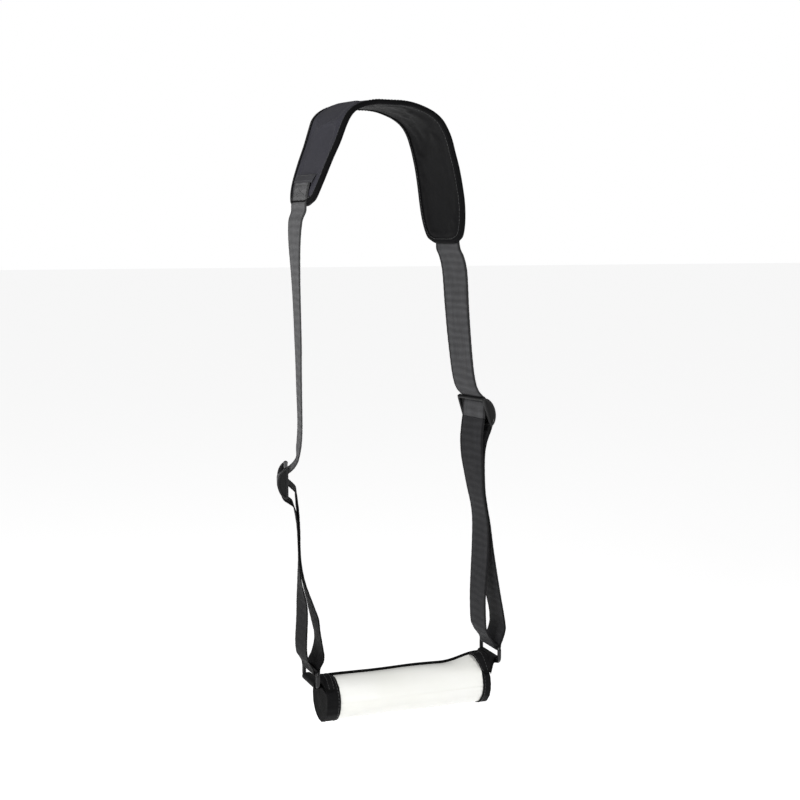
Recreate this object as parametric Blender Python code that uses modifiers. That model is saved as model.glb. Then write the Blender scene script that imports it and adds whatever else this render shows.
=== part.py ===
"""Padded shoulder sling: an arched shoulder pad, two adjustable webbing loops and a padded roller.

Metres, +Z up. The origin is the underside of the pad's crown, where the sling rests on what carries it.
+X runs along the roller and +Y runs across the pad.
"""
from math import cos, pi, radians, sin

import bmesh
import bpy
import numpy as np
from mathutils import Matrix

GAP = 0.0003

PAD_WIDTH = 0.096
PAD_LINING = 0.0012
PAD_FOAM = 0.0050
PAD_COVER = 0.0012
PAD_HALF = (PAD_LINING + PAD_FOAM + PAD_COVER) / 2 + GAP
PAD_HEADING = 6.5
PAD_TAPER_LEFT = 0.040
PAD_TAPER_RIGHT = 0.060
PAD_END_WIDTH = 0.51
EDGE_R = 0.0042
EDGE_INSET = EDGE_R + 0.0056

WEB_WIDTH = 0.050
WEB = 0.0015
WEB_ON_PAD = PAD_HALF + 0.0014
WRAP_STEP = GAP + WEB / 2
FLAP = 0.0008
FLAP_WIDTH = 0.056
FLAP_ON_PAD = WEB_ON_PAD + WEB / 2 + GAP * 2 + FLAP / 2
LEFT_FLAP = (0.017, 0.031)
RIGHT_FLAP = (0.035, 0.049)

GLIDE_BAR_R = 0.0024
GLIDE_PITCH = 0.0165
GLIDE_BAR_OFFSET = 0.004
GLIDE_BULGE = 0.0105
GLIDE_INNER = 0.0534
GLIDE_PLATE = 0.0034
GLIDE_PLATE_LIP = 0.0026

RING_WIRE_R = 0.0025
RING_PITCH = 0.0165
RING_INNER = 0.052
RING_CORNER = 0.004
RING_TURN = -2.0
LEFT_RING_Z = -0.6782
RIGHT_RING_Z = -0.6716

ROLLER_X = 0.040
ROLLER_Z = -0.719
ROLLER_HALF = 0.1091
ROLLER_R = 0.0266
ROLLER_SKIN = 0.0010
CAP_R = 0.0280
CAP_WALL = 0.0010
CAP_BAND_LEFT = 0.0163
CAP_BAND_RIGHT = 0.0100
CORE_R = 0.0080
CORE_WALL = 0.0015
PIPING_R = 0.0017
PIPING_ANGLE = 100.0
RING_REACH = 0.0127
TAB_LAP = 0.009
TAB_FLAT = 0.6
TAB_CLOSE = 0.0042

LEFT_RING_X = ROLLER_X - ROLLER_HALF - RING_REACH
RIGHT_RING_X = ROLLER_X + ROLLER_HALF + RING_REACH

WEB_GREY = (0.105, 0.105, 0.110)
COVER_BLUE = (0.055, 0.056, 0.072)
BLACK = (0.012, 0.012, 0.013)


def clear_scene():
    for item in list(bpy.data.objects):
        bpy.data.objects.remove(item, do_unlink=True)


def new_collection(name):
    group = bpy.data.collections.new(name)
    bpy.context.scene.collection.children.link(group)
    return group


def finish(name, data, colour, roughness, metallic=0.0):
    """Put data in the scene as one named object with a material of its own."""
    item = bpy.data.objects.new(name, data)
    look = bpy.data.materials.new(name)
    look.use_nodes = True
    shader = look.node_tree.nodes["Principled BSDF"]
    shader.inputs["Base Color"].default_value = (*colour, 1.0)
    shader.inputs["Roughness"].default_value = roughness
    shader.inputs["Metallic"].default_value = metallic
    data.materials.append(look)
    PARTS.objects.link(item)
    return item


# ---------------------------------------------------------------- routes

def smooth(points, step=0.006):
    """Even samples of the smooth curve through the rows (x, y, z, turn in degrees), as numpy rows."""
    p = np.array(points, float)
    p[:, :3] /= 1000.0
    ends = np.vstack([2 * p[0] - p[1], p, 2 * p[-1] - p[-2]])
    fine = []
    for a, b, c, d in zip(ends, ends[1:], ends[2:], ends[3:]):
        for t in np.arange(0.0, 1.0, 0.05):
            fine.append(
                0.5 * (2 * b + (c - a) * t + (2 * a - 5 * b + 4 * c - d) * t**2
                       + (3 * b - a - 3 * c + d) * t**3)
            )
    fine = np.array([*fine, p[-1]])
    run = np.concatenate([[0], np.cumsum(np.linalg.norm(np.diff(fine[:, :3], axis=0), axis=1))])
    count = max(2, round(run[-1] / step)) + 1
    at = np.linspace(0, run[-1], count)
    return np.stack([np.interp(at, run, fine[:, k]) for k in range(4)], axis=1)


def frames(route):
    """The places, widthwise directions and face normals along a route."""
    place = route[:, :3]
    along = np.gradient(place, axis=0)
    turn = np.radians(route[:, 3])
    wide = np.stack([-np.sin(turn), np.cos(turn), np.zeros(len(turn))], axis=1)
    normal = np.cross(along, wide)
    return place, wide, normal / np.linalg.norm(normal, axis=1)[:, None]


def thicken(item, thickness):
    """Give an open surface its thickness, half to each side."""
    shell = item.modifiers.new("thickness", "SOLIDIFY")
    shell.thickness = thickness
    shell.offset = 0.0
    shell.use_even_offset = True
    return item


def band(name, route, width, thickness, colour, roughness, lift=0.0, across=1):
    """A strip along a route: a grid laid on the route, thickened evenly to both sides."""
    place, wide, normal = frames(route)
    half = np.broadcast_to(width, len(route)) / 2
    bm = bmesh.new()
    bmesh.ops.create_grid(bm, x_segments=len(route) - 1, y_segments=across, size=0.5)
    for vert in bm.verts:
        i = round((vert.co.x + 0.5) * (len(route) - 1))
        side = 2 * vert.co.y * half[i]
        vert.co = place[i] + side * wide[i] + lift * normal[i]
    mesh = bpy.data.meshes.new(name)
    bm.to_mesh(mesh)
    bm.free()
    return thicken(finish(name, mesh, colour, roughness), thickness)


def wire(name, points, radius, colour, roughness, closed=False, metallic=0.0):
    """A round wire through the points."""
    curve = bpy.data.curves.new(name, "CURVE")
    curve.dimensions = "3D"
    curve.bevel_depth = radius
    curve.bevel_resolution = 2
    curve.use_fill_caps = not closed
    spline = curve.splines.new("POLY")
    spline.points.add(len(points) - 1)
    for point, place in zip(spline.points, points):
        point.co = (*place, 1.0)
    spline.use_cyclic_u = closed
    return finish(name, curve, colour, roughness, metallic)


def as_mesh(item):
    """Turn a curve object into a mesh object of the same name, with its caps welded."""
    bpy.context.view_layer.update()
    solid = bpy.data.meshes.new_from_object(item.evaluated_get(bpy.context.evaluated_depsgraph_get()))
    bm = bmesh.new()
    bm.from_mesh(solid)
    bmesh.ops.remove_doubles(bm, verts=bm.verts, dist=0.00001)
    bm.to_mesh(solid)
    bm.free()
    name, matrix, look = item.name, item.matrix_world.copy(), item.data.materials[0]
    bpy.data.objects.remove(item, do_unlink=True)
    result = bpy.data.objects.new(name, solid)
    result.matrix_world = matrix
    solid.materials.clear()
    solid.materials.append(look)
    PARTS.objects.link(result)
    return result


def turned(name, profile, colour, roughness, steps=40, metallic=0.0):
    """A closed profile of (radius, height) turned about Z."""
    bm = bmesh.new()
    corners = [bm.verts.new((r, 0.0, z)) for r, z in profile]
    for a, b in zip(corners, corners[1:] + corners[:1]):
        bm.edges.new((a, b))
    mesh = bpy.data.meshes.new(name)
    bm.to_mesh(mesh)
    bm.free()
    item = finish(name, mesh, colour, roughness, metallic)
    screw = item.modifiers.new("turn", "SCREW")
    screw.steps = steps
    screw.render_steps = steps
    screw.use_merge_vertices = True
    screw.merge_threshold = 0.00001
    return item


# ---------------------------------------------------------------- shoulder pad

def pad_route():
    """The pad's middle surface from its left end, over the flat crown, to its right end."""
    heading = radians(PAD_HEADING)
    mid = 1000 * PAD_HALF
    outline = [
        (-94.0, -116, 1.5), (-87.3, -93, 1.5), (-76.5, -65, 3), (-67.3, -44, 4.5), (-60.2, -25, 5.5),
        (-55.3, -14, 6.5), (-48.0, -6.0, 6.5), (-38.0, -0.6, 6.5), (-26.0, mid - 1.6, 6.5),
        (-16.0, mid, 6.5), (-8.0, mid, 6.5), (0.0, mid, 6.5), (8.0, mid, 6.5), (16.0, mid, 6.5),
        (30.0, mid - 1.6, 6.5), (46.0, -2.2, 6.5), (58.5, -7.8, 6.5), (68.5, -15.5, 6.5),
        (75.8, -26, 6.5), (81.0, -38, 7), (85.2, -52, 7), (91.0, -74, 8), (96.3, -104, 9),
        (99.8, -133, 10), (102.8, -160, 11),
    ]
    return smooth([(s * cos(heading), s * sin(heading), z, turn) for s, z, turn in outline], 0.0065)


def pad_widths(route):
    """The pad's full width at each place: even, with tapered round ends."""
    run = np.concatenate([[0], np.cumsum(np.linalg.norm(np.diff(route[:, :3], axis=0), axis=1))])
    near_end = np.clip(np.minimum(run / PAD_TAPER_LEFT, (run[-1] - run) / PAD_TAPER_RIGHT), 0, 1)
    round_end = np.sqrt(1 - (1 - near_end) ** 2)
    return run, PAD_WIDTH * (PAD_END_WIDTH + (1 - PAD_END_WIDTH) * round_end)


def make_pad():
    route = pad_route()
    run, width = pad_widths(route)
    inside = (run > EDGE_R * 2 + 2 * GAP) & (run < run[-1] - EDGE_R * 2 - 2 * GAP)
    slab, slab_width = route[inside], width[inside] - 2 * EDGE_INSET
    lining_lift = -PAD_HALF + PAD_LINING / 2
    cover_lift = PAD_HALF - PAD_COVER / 2
    band("pad_lining", slab, slab_width, PAD_LINING, BLACK, 0.6, lining_lift, 4)
    band("pad_foam", slab, slab_width, PAD_FOAM, (0.30, 0.30, 0.30), 0.95, 0.0, 4)
    band("pad_outer_cover", slab, slab_width, PAD_COVER, COVER_BLUE, 0.5, cover_lift, 4)

    for name, low, high in (("left_strap_flap", *LEFT_FLAP), ("right_strap_flap", *RIGHT_FLAP)):
        from_end = run if name.startswith("left") else run[-1] - run
        patch = route[(from_end > low) & (from_end < high)]
        band(name, patch, FLAP_WIDTH, FLAP, COVER_BLUE, 0.5, FLAP_ON_PAD)

    place, wide, _ = frames(route)
    tips = (run > EDGE_R * 0.9) & (run < run[-1] - EDGE_R * 0.9)
    rim = (width / 2 - EDGE_R)[:, None] * wide
    far, near = (place + rim)[tips], (place - rim)[tips]
    across = np.array([0.25, 0.5, 0.75])[:, None]
    right = far[-1] + (near[-1] - far[-1]) * across
    left = near[0] + (far[0] - near[0]) * across
    rim_points = np.vstack([far, right, near[::-1], left])
    wire("pad_edge_binding", rim_points, EDGE_R, BLACK, 0.6, closed=True)


# ---------------------------------------------------------------- webbing

class Glide:
    """Where one tri-glide stands: its middle, which side its cheeks bulge to, its lean and its turn."""

    def __init__(self, x, z, outward, lean, turn):
        self.x, self.z, self.outward = x, z, outward
        self.lean, self.turn = radians(lean), radians(turn)

    def place(self, out, up, side):
        """World place of a point out past the glide's chord, up along it and sideways across the webbing."""
        flat = self.outward * (out * cos(self.lean) - up * sin(self.lean))
        x = self.x + flat * cos(self.turn) - side * sin(self.turn)
        y = flat * sin(self.turn) + side * cos(self.turn)
        return (x, y, self.z + out * sin(self.lean) + up * cos(self.lean))

    def through(self, rows):
        """Route rows, in millimetres, for webbing that runs square to the bars at each (x, z)."""
        slope, turn = np.tan(self.turn), np.degrees(self.turn)
        return [(x, (x - 1000 * self.x) * slope, z, turn) for x, z in rows]


LEFT_GLIDE = Glide(-0.1120, -0.4435, -1, 0.0, -17.5)
RIGHT_GLIDE = Glide(0.1388, -0.3700, 1, 18.0, 9.0)


LEFT_UPPER = [
    (-92.8, -10.4, -93, 1.5), (-99.2, -10.9, -115, 1.5), (-101.8, -10.5, -133, 0), (-102.2, -9.5, -160, -3),
    (-100.6, -8, -197, -7), (-98.6, -6, -235, -9), (-96.7, -4, -280, -10), (-96.1, -3.2, -300, -11),
]
LEFT_RUNNING = [
    (-96.1, -3.2, -300.3, -11), (-95.2, -2, -335, -12), (-94.0, -0.6, -375, -13), (-94.6, 0, -395, -13),
    (-96.2, 0, -408.5, -14),
    *LEFT_GLIDE.through([(-99.4, -419.5), (-105.4, -428.2), (-115.6, -436.2), (-120.6, -440.1),
                         (-121.8, -444.5), (-120.9, -449.5)]),
]
LEFT_OUTER = [
    *LEFT_GLIDE.through([(-120.8, -449.8), (-119.6, -453.0), (-117.6, -457.0), (-116.1, -461.0),
                         (-113.4, -464.9)]),
    (-108.2, 0, -468.8, -16), (-103.9, 0, -472.6, -15.5), (-101.2, 0, -479.5, -15), (-99.3, 0, -490, -15.5),
    (-97.6, 0, -505.7, -17), (-96.9, 0, -525.5, -18), (-96.1, 0, -545, -17), (-95.6, 0, -565, -14),
    (-94.2, 0, -580, -10.5), (-93.2, 0, -595, -6.5), (-93.0, 0, -610, -4.5), (-93.3, 0, -625, -3.5),
    (-94.3, 0, -645, -3), (-93.8, 0, -656, -2.5), (-92.3, 0, -663.5, -2),
]
LEFT_INNER = [
    *LEFT_GLIDE.through([(-107.5, -448.4), (-103.4, -452.4), (-100.6, -457)]), (-99.3, 0, -463, -16),
    (-98.6, 0, -470, -15.5), (-97.9, 0, -478, -15), (-97.0, 0, -488, -15.5), (-95.6, 0, -505.7, -17),
    (-95.0, 0, -525.5, -18), (-93.9, 0, -545, -17), (-90.6, 0, -568, -14.5), (-82.8, 0, -595.7, -12.5),
    (-78.2, 0, -612, -11.5), (-75.6, 0, -626.5, -9.5), (-73.2, 0, -640, -9), (-71.9, 0, -650, -7),
    (-71.7, 0, -657, -4), (-73.0, 0, -664.5, -2),
]
LEFT_BIGHT = [(-92.1, 0, -663.9, -2), (-89.2, 0, -668.6, -2), (-86.2, 0, -673.8, -2)]
LEFT_BIGHT_END = [(-78.0, 0, -674.4, -2), (-75.8, 0, -669.9, -2), (-73.2, 0, -664.9, -2)]

RIGHT_UPPER = [
    (102.9, 11.6, -118, 9), (105.4, 11.6, -140, 10), (109.0, 10.8, -166, 12.5), (113.0, 8.8, -190, 13.8),
    (114.2, 7.6, -210, 13.3), (115.0, 6.5, -230, 12.5), (115.5, 6.0, -240, 12),
]
RIGHT_RUNNING = [
    (115.5, 6.0, -240.3, 12), (117.4, 4.5, -270, 11), (120.3, 2.5, -305, 9.5), (122.8, 1.2, -326, 9),
    (126.4, 0.0, -340.5, 9),
    *RIGHT_GLIDE.through([(132.1, -348.9), (136.9, -352.3), (138.1, -357.5), (136.8, -365.5),
                          (136.7, -372.5), (136.4, -378.5)]),
]
RIGHT_INNER = [
    *RIGHT_GLIDE.through([(136.3, -378.8), (135.2, -386.5), (133.9, -397.5)]), (133.8, 0, -410, 9.5),
    (134.8, 0, -430, 8.5), (137.0, 0, -451, 4), (139.8, 0, -472, 0), (144.0, 0, -493, -2),
    (146.8, 0, -513.5, -1), (147.0, 0, -544.5, 0), (145.3, 0, -575.5, -1), (143.7, 0, -606.5, -2),
    (143.9, 0, -627.4, -2), (144.9, 0, -645, -2), (147.0, 0, -651.5, -2), (149.9, 0, -657.0, -2),
]
RIGHT_OUTER = [
    *RIGHT_GLIDE.through([(145.7, -375.5), (147.8, -381.0), (148.0, -386.5), (145.4, -394.5)]),
    (140.8, 0, -404.5, 9), (137.6, 0, -417, 9.5), (136.9, 0, -431, 8.5), (138.9, 0, -451, 4),
    (141.8, 0, -472, 0), (146.0, 0, -493, -2), (149.4, 0, -513.5, -1), (153.4, 0, -545, 0),
    (159.2, 0, -577, -1), (165.4, 0, -608.5, -2), (170.4, 0, -632, -3), (172.1, 0, -646, -2),
    (171.6, 0, -652, -2), (169.9, 0, -657.9, -2),
]
RIGHT_BIGHT = [(150.1, 0, -657.3, -2), (153.8, 0, -662.3, -2), (157.3, 0, -667.3, -2)]
RIGHT_BIGHT_END = [(166.1, 0, -667.4, -2), (168.2, 0, -662.8, -2), (169.8, 0, -658.3, -2)]


def arc(cx, cz, radius, first, last, count=9):
    """Pairs (x, z) in millimetres along an arc, its angles in degrees from +X towards +Z."""
    angles = np.linspace(radians(first), radians(last), count)
    return [(1000 * (cx + radius * cos(a)), 1000 * (cz + radius * sin(a))) for a in angles]


def strap(name, points, step=0.006):
    return band(name, smooth(points, step), WEB_WIDTH, WEB, WEB_GREY, 0.75)


def make_bight(name, first_leg, last_leg, bar_x, bar_z):
    """The webbing's turn under a ring's upper bar."""
    turn_r = RING_WIRE_R + WRAP_STEP
    loop = [(x, 0.0, z, RING_TURN) for x, z in arc(bar_x, bar_z, turn_r, 195, 345)]
    strap(name, [*first_leg, *loop, *last_leg], 0.0016)


def make_straps():
    strap("left_upper_strap", LEFT_UPPER, 0.010)
    strap("left_running_strap", LEFT_RUNNING, 0.0024)
    strap("left_loop_outer_layer", LEFT_OUTER)
    strap("left_loop_inner_layer", LEFT_INNER)
    make_bight("left_ring_bight", LEFT_BIGHT, LEFT_BIGHT_END, LEFT_RING_X, LEFT_RING_Z)
    strap("right_upper_strap", RIGHT_UPPER, 0.010)
    strap("right_running_strap", RIGHT_RUNNING, 0.0024)
    strap("right_loop_inner_layer", RIGHT_INNER)
    strap("right_loop_outer_layer", RIGHT_OUTER)
    make_bight("right_ring_bight", RIGHT_BIGHT, RIGHT_BIGHT_END, RIGHT_RING_X, RIGHT_RING_Z)


# ---------------------------------------------------------------- tri-glides

def cheek(glide, side):
    """A D-shaped end plate: a straight inner edge and a bowed outer one."""
    reach = GLIDE_PITCH + GLIDE_BAR_R + 0.0002
    curve = bpy.data.curves.new("cheek", "CURVE")
    curve.dimensions = "2D"
    curve.fill_mode = "BOTH"
    curve.extrude = GLIDE_PLATE / 2
    spline = curve.splines.new("POLY")
    bow = [(reach * sin(a), -GLIDE_PLATE_LIP + (GLIDE_BULGE + GLIDE_PLATE_LIP) * cos(a))
           for a in np.linspace(-pi / 2, pi / 2, 17)]
    spline.points.add(len(bow) - 1)
    for point, (up, out) in zip(spline.points, bow):
        point.co = (glide.outward * out, up, 0.0, 1.0)
    spline.use_cyclic_u = True
    item = finish("cheek", curve, BLACK, 0.35)
    item.rotation_euler = (pi / 2, -glide.outward * glide.lean, glide.turn)
    item.location = glide.place(0.0, 0.0, side)
    return as_mesh(item)


def make_glide(name, glide):
    """Three bars between two cheeks, joined into one frame."""
    reach = GLIDE_INNER / 2 + GLIDE_PLATE * 0.6
    bars = [(0.0, GLIDE_PITCH), (GLIDE_BAR_OFFSET, 0.0), (0.0, -GLIDE_PITCH)]
    pieces = [cheek(glide, side * (GLIDE_INNER + GLIDE_PLATE) / 2) for side in (-1, 1)]
    for out, up in bars:
        ends = [glide.place(out, up, side * reach) for side in (-1, 1)]
        pieces.append(as_mesh(wire("bar", ends, GLIDE_BAR_R, BLACK, 0.35)))
    frame = pieces[0]
    frame.name = frame.data.name = frame.data.materials[0].name = name
    for piece in pieces[1:]:
        PARTS.objects.unlink(piece)
        TOOLS.objects.link(piece)
        piece.hide_render = True
        piece.display_type = "WIRE"
        union = frame.modifiers.new("join", "BOOLEAN")
        union.operation = "UNION"
        union.solver = "EXACT"
        union.object = piece
    return frame


def make_sewn_end(name, glide, first, last, leg):
    """The webbing's sewn end: a loop round the middle bar with a short leg towards the ring."""
    x, _, z = glide.place(GLIDE_BAR_OFFSET, 0.0, 0.0)
    loop = arc(x, z, GLIDE_BAR_R + WRAP_STEP, first, last)
    strap(name, glide.through([*loop, *leg]), 0.0016)


# ---------------------------------------------------------------- rings

def make_ring(name, bar_x, bar_z):
    """A rectangular wire ring with its upper bar on the bight and its lower bar in the roller's tab."""
    half_y = RING_INNER / 2 + RING_WIRE_R
    half_z = RING_PITCH / 2
    points = []
    for number, (sy, sz) in enumerate(((1, 1), (-1, 1), (-1, -1), (1, -1))):
        cy, cz = sy * (half_y - RING_CORNER), sz * (half_z - RING_CORNER)
        for a in np.linspace(number * pi / 2, (number + 1) * pi / 2, 5):
            y, z = cy + RING_CORNER * cos(a), cz + RING_CORNER * sin(a)
            points.append((-y * sin(radians(RING_TURN)), y * cos(radians(RING_TURN)), z))
    ring = wire(name, points, RING_WIRE_R, BLACK, 0.3, closed=True, metallic=0.6)
    ring = as_mesh(ring)
    ring.data.transform(Matrix.Translation((0.0, 0.0, -half_z)))
    ring.location = (bar_x, 0.0, bar_z)
    return ring


# ---------------------------------------------------------------- roller

def lay_along_x(item, start_x, direction):
    """Turn a piece made about Z so that its +Z runs along X from start_x."""
    item.rotation_euler = (0.0, direction * pi / 2, 0.0)
    item.location = (start_x, 0.0, ROLLER_Z)
    return item


def tube_profile(outer, inner, length):
    return [(outer, length), (outer, 0.0), (inner, 0.0), (inner, length)]


def make_roller():
    length = 2 * (ROLLER_HALF - CAP_WALL - GAP)
    start = ROLLER_X - length / 2
    foam_r = ROLLER_R - ROLLER_SKIN - GAP
    lay_along_x(turned("roller_cover", tube_profile(ROLLER_R, ROLLER_R - ROLLER_SKIN, length),
                       (0.82, 0.82, 0.78), 0.3, 56), start, 1)
    lay_along_x(turned("roller_foam", tube_profile(foam_r, CORE_R + GAP, length),
                       (0.6, 0.6, 0.58), 0.95), start, 1)
    lay_along_x(turned("roller_core_tube", tube_profile(CORE_R, CORE_R - CORE_WALL, length),
                       (0.5, 0.5, 0.5), 0.5, 24), start, 1)
    make_cap("left_end_cap", -1, CAP_BAND_LEFT)
    make_cap("right_end_cap", 1, CAP_BAND_RIGHT)
    angle = radians(PIPING_ANGLE)
    reach = ROLLER_R + GAP + PIPING_R
    y, z = -reach * cos(angle), ROLLER_Z + reach * sin(angle)
    first = ROLLER_X - ROLLER_HALF + CAP_BAND_LEFT + GAP
    last = ROLLER_X + ROLLER_HALF - CAP_BAND_RIGHT - GAP
    wire("roller_piping", [(x, y, z) for x in np.linspace(first, last, 6)], PIPING_R, BLACK, 0.5)


def make_cap(name, side, band_length):
    """A cup whose flat end closes the roller and whose side laps over the cover."""
    inner = ROLLER_R + GAP
    corner = 0.0015
    profile = [
        (CAP_R - corner, 0.0), (CAP_R - corner * 0.3, -corner * 0.3), (CAP_R, -corner), (CAP_R, -band_length),
        (inner, -band_length), (inner, -CAP_WALL), (0.0005, -CAP_WALL), (0.0005, 0.0),
    ]
    cap = turned(name, profile, BLACK, 0.7, 48)
    return lay_along_x(cap, ROLLER_X + side * ROLLER_HALF, side)


def make_tab(name, side, bar_x, bar_z):
    """The roller's webbing tab: over the cap's top, round the ring's lower bar and back towards the cap.

    Each row across the webbing is (x, drop below the upper layer, drape), where drape goes from 1 on the
    cap, whose round the webbing follows, to 0 at the bar, where the webbing is flat.
    """
    turn_r = RING_WIRE_R + WRAP_STEP
    face_x = ROLLER_X + side * ROLLER_HALF
    skin_r = CAP_R + 2 * GAP + WEB / 2
    top_z = bar_z - RING_PITCH + turn_r
    rows = [(face_x - side * TAB_LAP * k, 0.0, 1.0) for k in (1.0, 0.75, 0.5, 0.25, 0.0)]
    rows += [(face_x + side * RING_REACH * k, 0.0, 1.0 - k / TAB_FLAT) for k in (0.2, 0.4, TAB_FLAT)]
    for a in np.linspace(pi / 2, -pi / 2, 8):
        rows.append((bar_x + side * turn_r * cos(a), turn_r * (1 - sin(a)), 0.0))
    for k in (TAB_FLAT, 0.4, 0.2, 0.1):
        drop = TAB_CLOSE + (2 * turn_r - TAB_CLOSE) * k
        rows.append((face_x + side * RING_REACH * k, drop, 1.0 - k / TAB_FLAT))
    widest = np.arcsin(WEB_WIDTH / 2 / skin_r)
    bm = bmesh.new()
    bmesh.ops.create_grid(bm, x_segments=len(rows) - 1, y_segments=12, size=0.5)
    for vert in bm.verts:
        x, drop, drape = rows[round((vert.co.x + 0.5) * (len(rows) - 1))]
        angle = 2 * vert.co.y * widest
        y = drape * skin_r * sin(angle) + (1 - drape) * vert.co.y * WEB_WIDTH
        z = drape * (ROLLER_Z + skin_r * cos(angle)) + (1 - drape) * top_z - drop
        vert.co = (x - y * sin(radians(RING_TURN)) * (1 - drape), y, z)
    mesh = bpy.data.meshes.new(name)
    bm.to_mesh(mesh)
    bm.free()
    return thicken(finish(name, mesh, WEB_GREY, 0.75), WEB)


clear_scene()
PARTS = new_collection("shoulder_pulley")
TOOLS = new_collection("shoulder_pulley_cutters")
make_pad()
make_straps()
make_glide("left_glide_frame", LEFT_GLIDE)
make_glide("right_glide_frame", RIGHT_GLIDE)
make_sewn_end("left_sewn_end", LEFT_GLIDE, 235, 10, [(-111.1, -445.1), (-107.9, -448.0)])
make_sewn_end("right_sewn_end", RIGHT_GLIDE, 250, -40, [(145.5, -375.1)])
make_ring("left_ring", LEFT_RING_X, LEFT_RING_Z)
make_ring("right_ring", RIGHT_RING_X, RIGHT_RING_Z)
make_roller()
make_tab("left_tab", -1, LEFT_RING_X, LEFT_RING_Z)
make_tab("right_tab", 1, RIGHT_RING_X, RIGHT_RING_Z)
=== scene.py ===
"""Looks of the padded shoulder sling: fabrics, webbing, hardware and roller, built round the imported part."""

from math import cos, pi, radians, sin

import bmesh
import bpy
import numpy as np
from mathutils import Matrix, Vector


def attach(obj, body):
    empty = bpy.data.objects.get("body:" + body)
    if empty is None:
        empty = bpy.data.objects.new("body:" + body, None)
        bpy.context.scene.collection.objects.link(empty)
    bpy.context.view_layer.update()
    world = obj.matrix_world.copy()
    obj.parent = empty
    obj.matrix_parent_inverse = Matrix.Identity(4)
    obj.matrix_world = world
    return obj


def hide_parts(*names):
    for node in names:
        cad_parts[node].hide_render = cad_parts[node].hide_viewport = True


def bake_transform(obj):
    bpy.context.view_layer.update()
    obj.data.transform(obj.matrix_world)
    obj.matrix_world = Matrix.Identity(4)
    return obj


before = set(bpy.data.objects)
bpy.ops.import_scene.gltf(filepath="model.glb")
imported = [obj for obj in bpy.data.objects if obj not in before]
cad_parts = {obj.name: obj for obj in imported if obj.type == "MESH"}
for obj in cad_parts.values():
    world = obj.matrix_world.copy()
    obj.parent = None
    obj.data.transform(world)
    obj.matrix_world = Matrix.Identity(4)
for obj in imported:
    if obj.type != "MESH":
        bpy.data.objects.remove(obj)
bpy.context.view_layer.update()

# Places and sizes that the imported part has, in metres.
PAD_WIDTH = 0.096
PAD_HALF = 0.0040
PAD_HEADING = 6.5
PAD_TAPER_LEFT = 0.040
PAD_TAPER_RIGHT = 0.060
PAD_END_WIDTH = 0.51
WEB_WIDTH = 0.050
WEB = 0.0015
WRAP_STEP = 0.0003 + WEB / 2
GLIDE_BAR_R = 0.0024
GLIDE_PITCH = 0.0165
GLIDE_BAR_OFFSET = 0.004
GLIDE_BULGE = 0.0105
GLIDE_INNER = 0.0534
GLIDE_PLATE = 0.0034
GLIDE_LIP = 0.0026
RING_WIRE_R = 0.0025
RING_PITCH = 0.0165
RING_INNER = 0.052
RING_CORNER = 0.004
RING_TURN = -2.0
LEFT_RING_Z = -0.6782
RIGHT_RING_Z = -0.6716
ROLLER_X = 0.040
ROLLER_Z = -0.719
ROLLER_HALF = 0.1091
ROLLER_R = 0.0266
CAP_R = 0.0280
CAP_BANDS = {-1: 0.0163, 1: 0.0100}
PIPING_R = 0.0020
PIPING_ANGLE = 100.0
RING_REACH = 0.0127
TAB_LAP = 0.009
TAB_CLOSE = 0.0042
TAB_FLAT = 0.6
LEFT_RING_X = ROLLER_X - ROLLER_HALF - RING_REACH
RIGHT_RING_X = ROLLER_X + ROLLER_HALF + RING_REACH
FLOOR_Z = -0.90
AMBIENT_HORIZON = 0.48
AMBIENT_ABOVE = 0.16

RANDOM = np.random.default_rng(7)


# ---------------------------------------------------------------- materials

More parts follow.
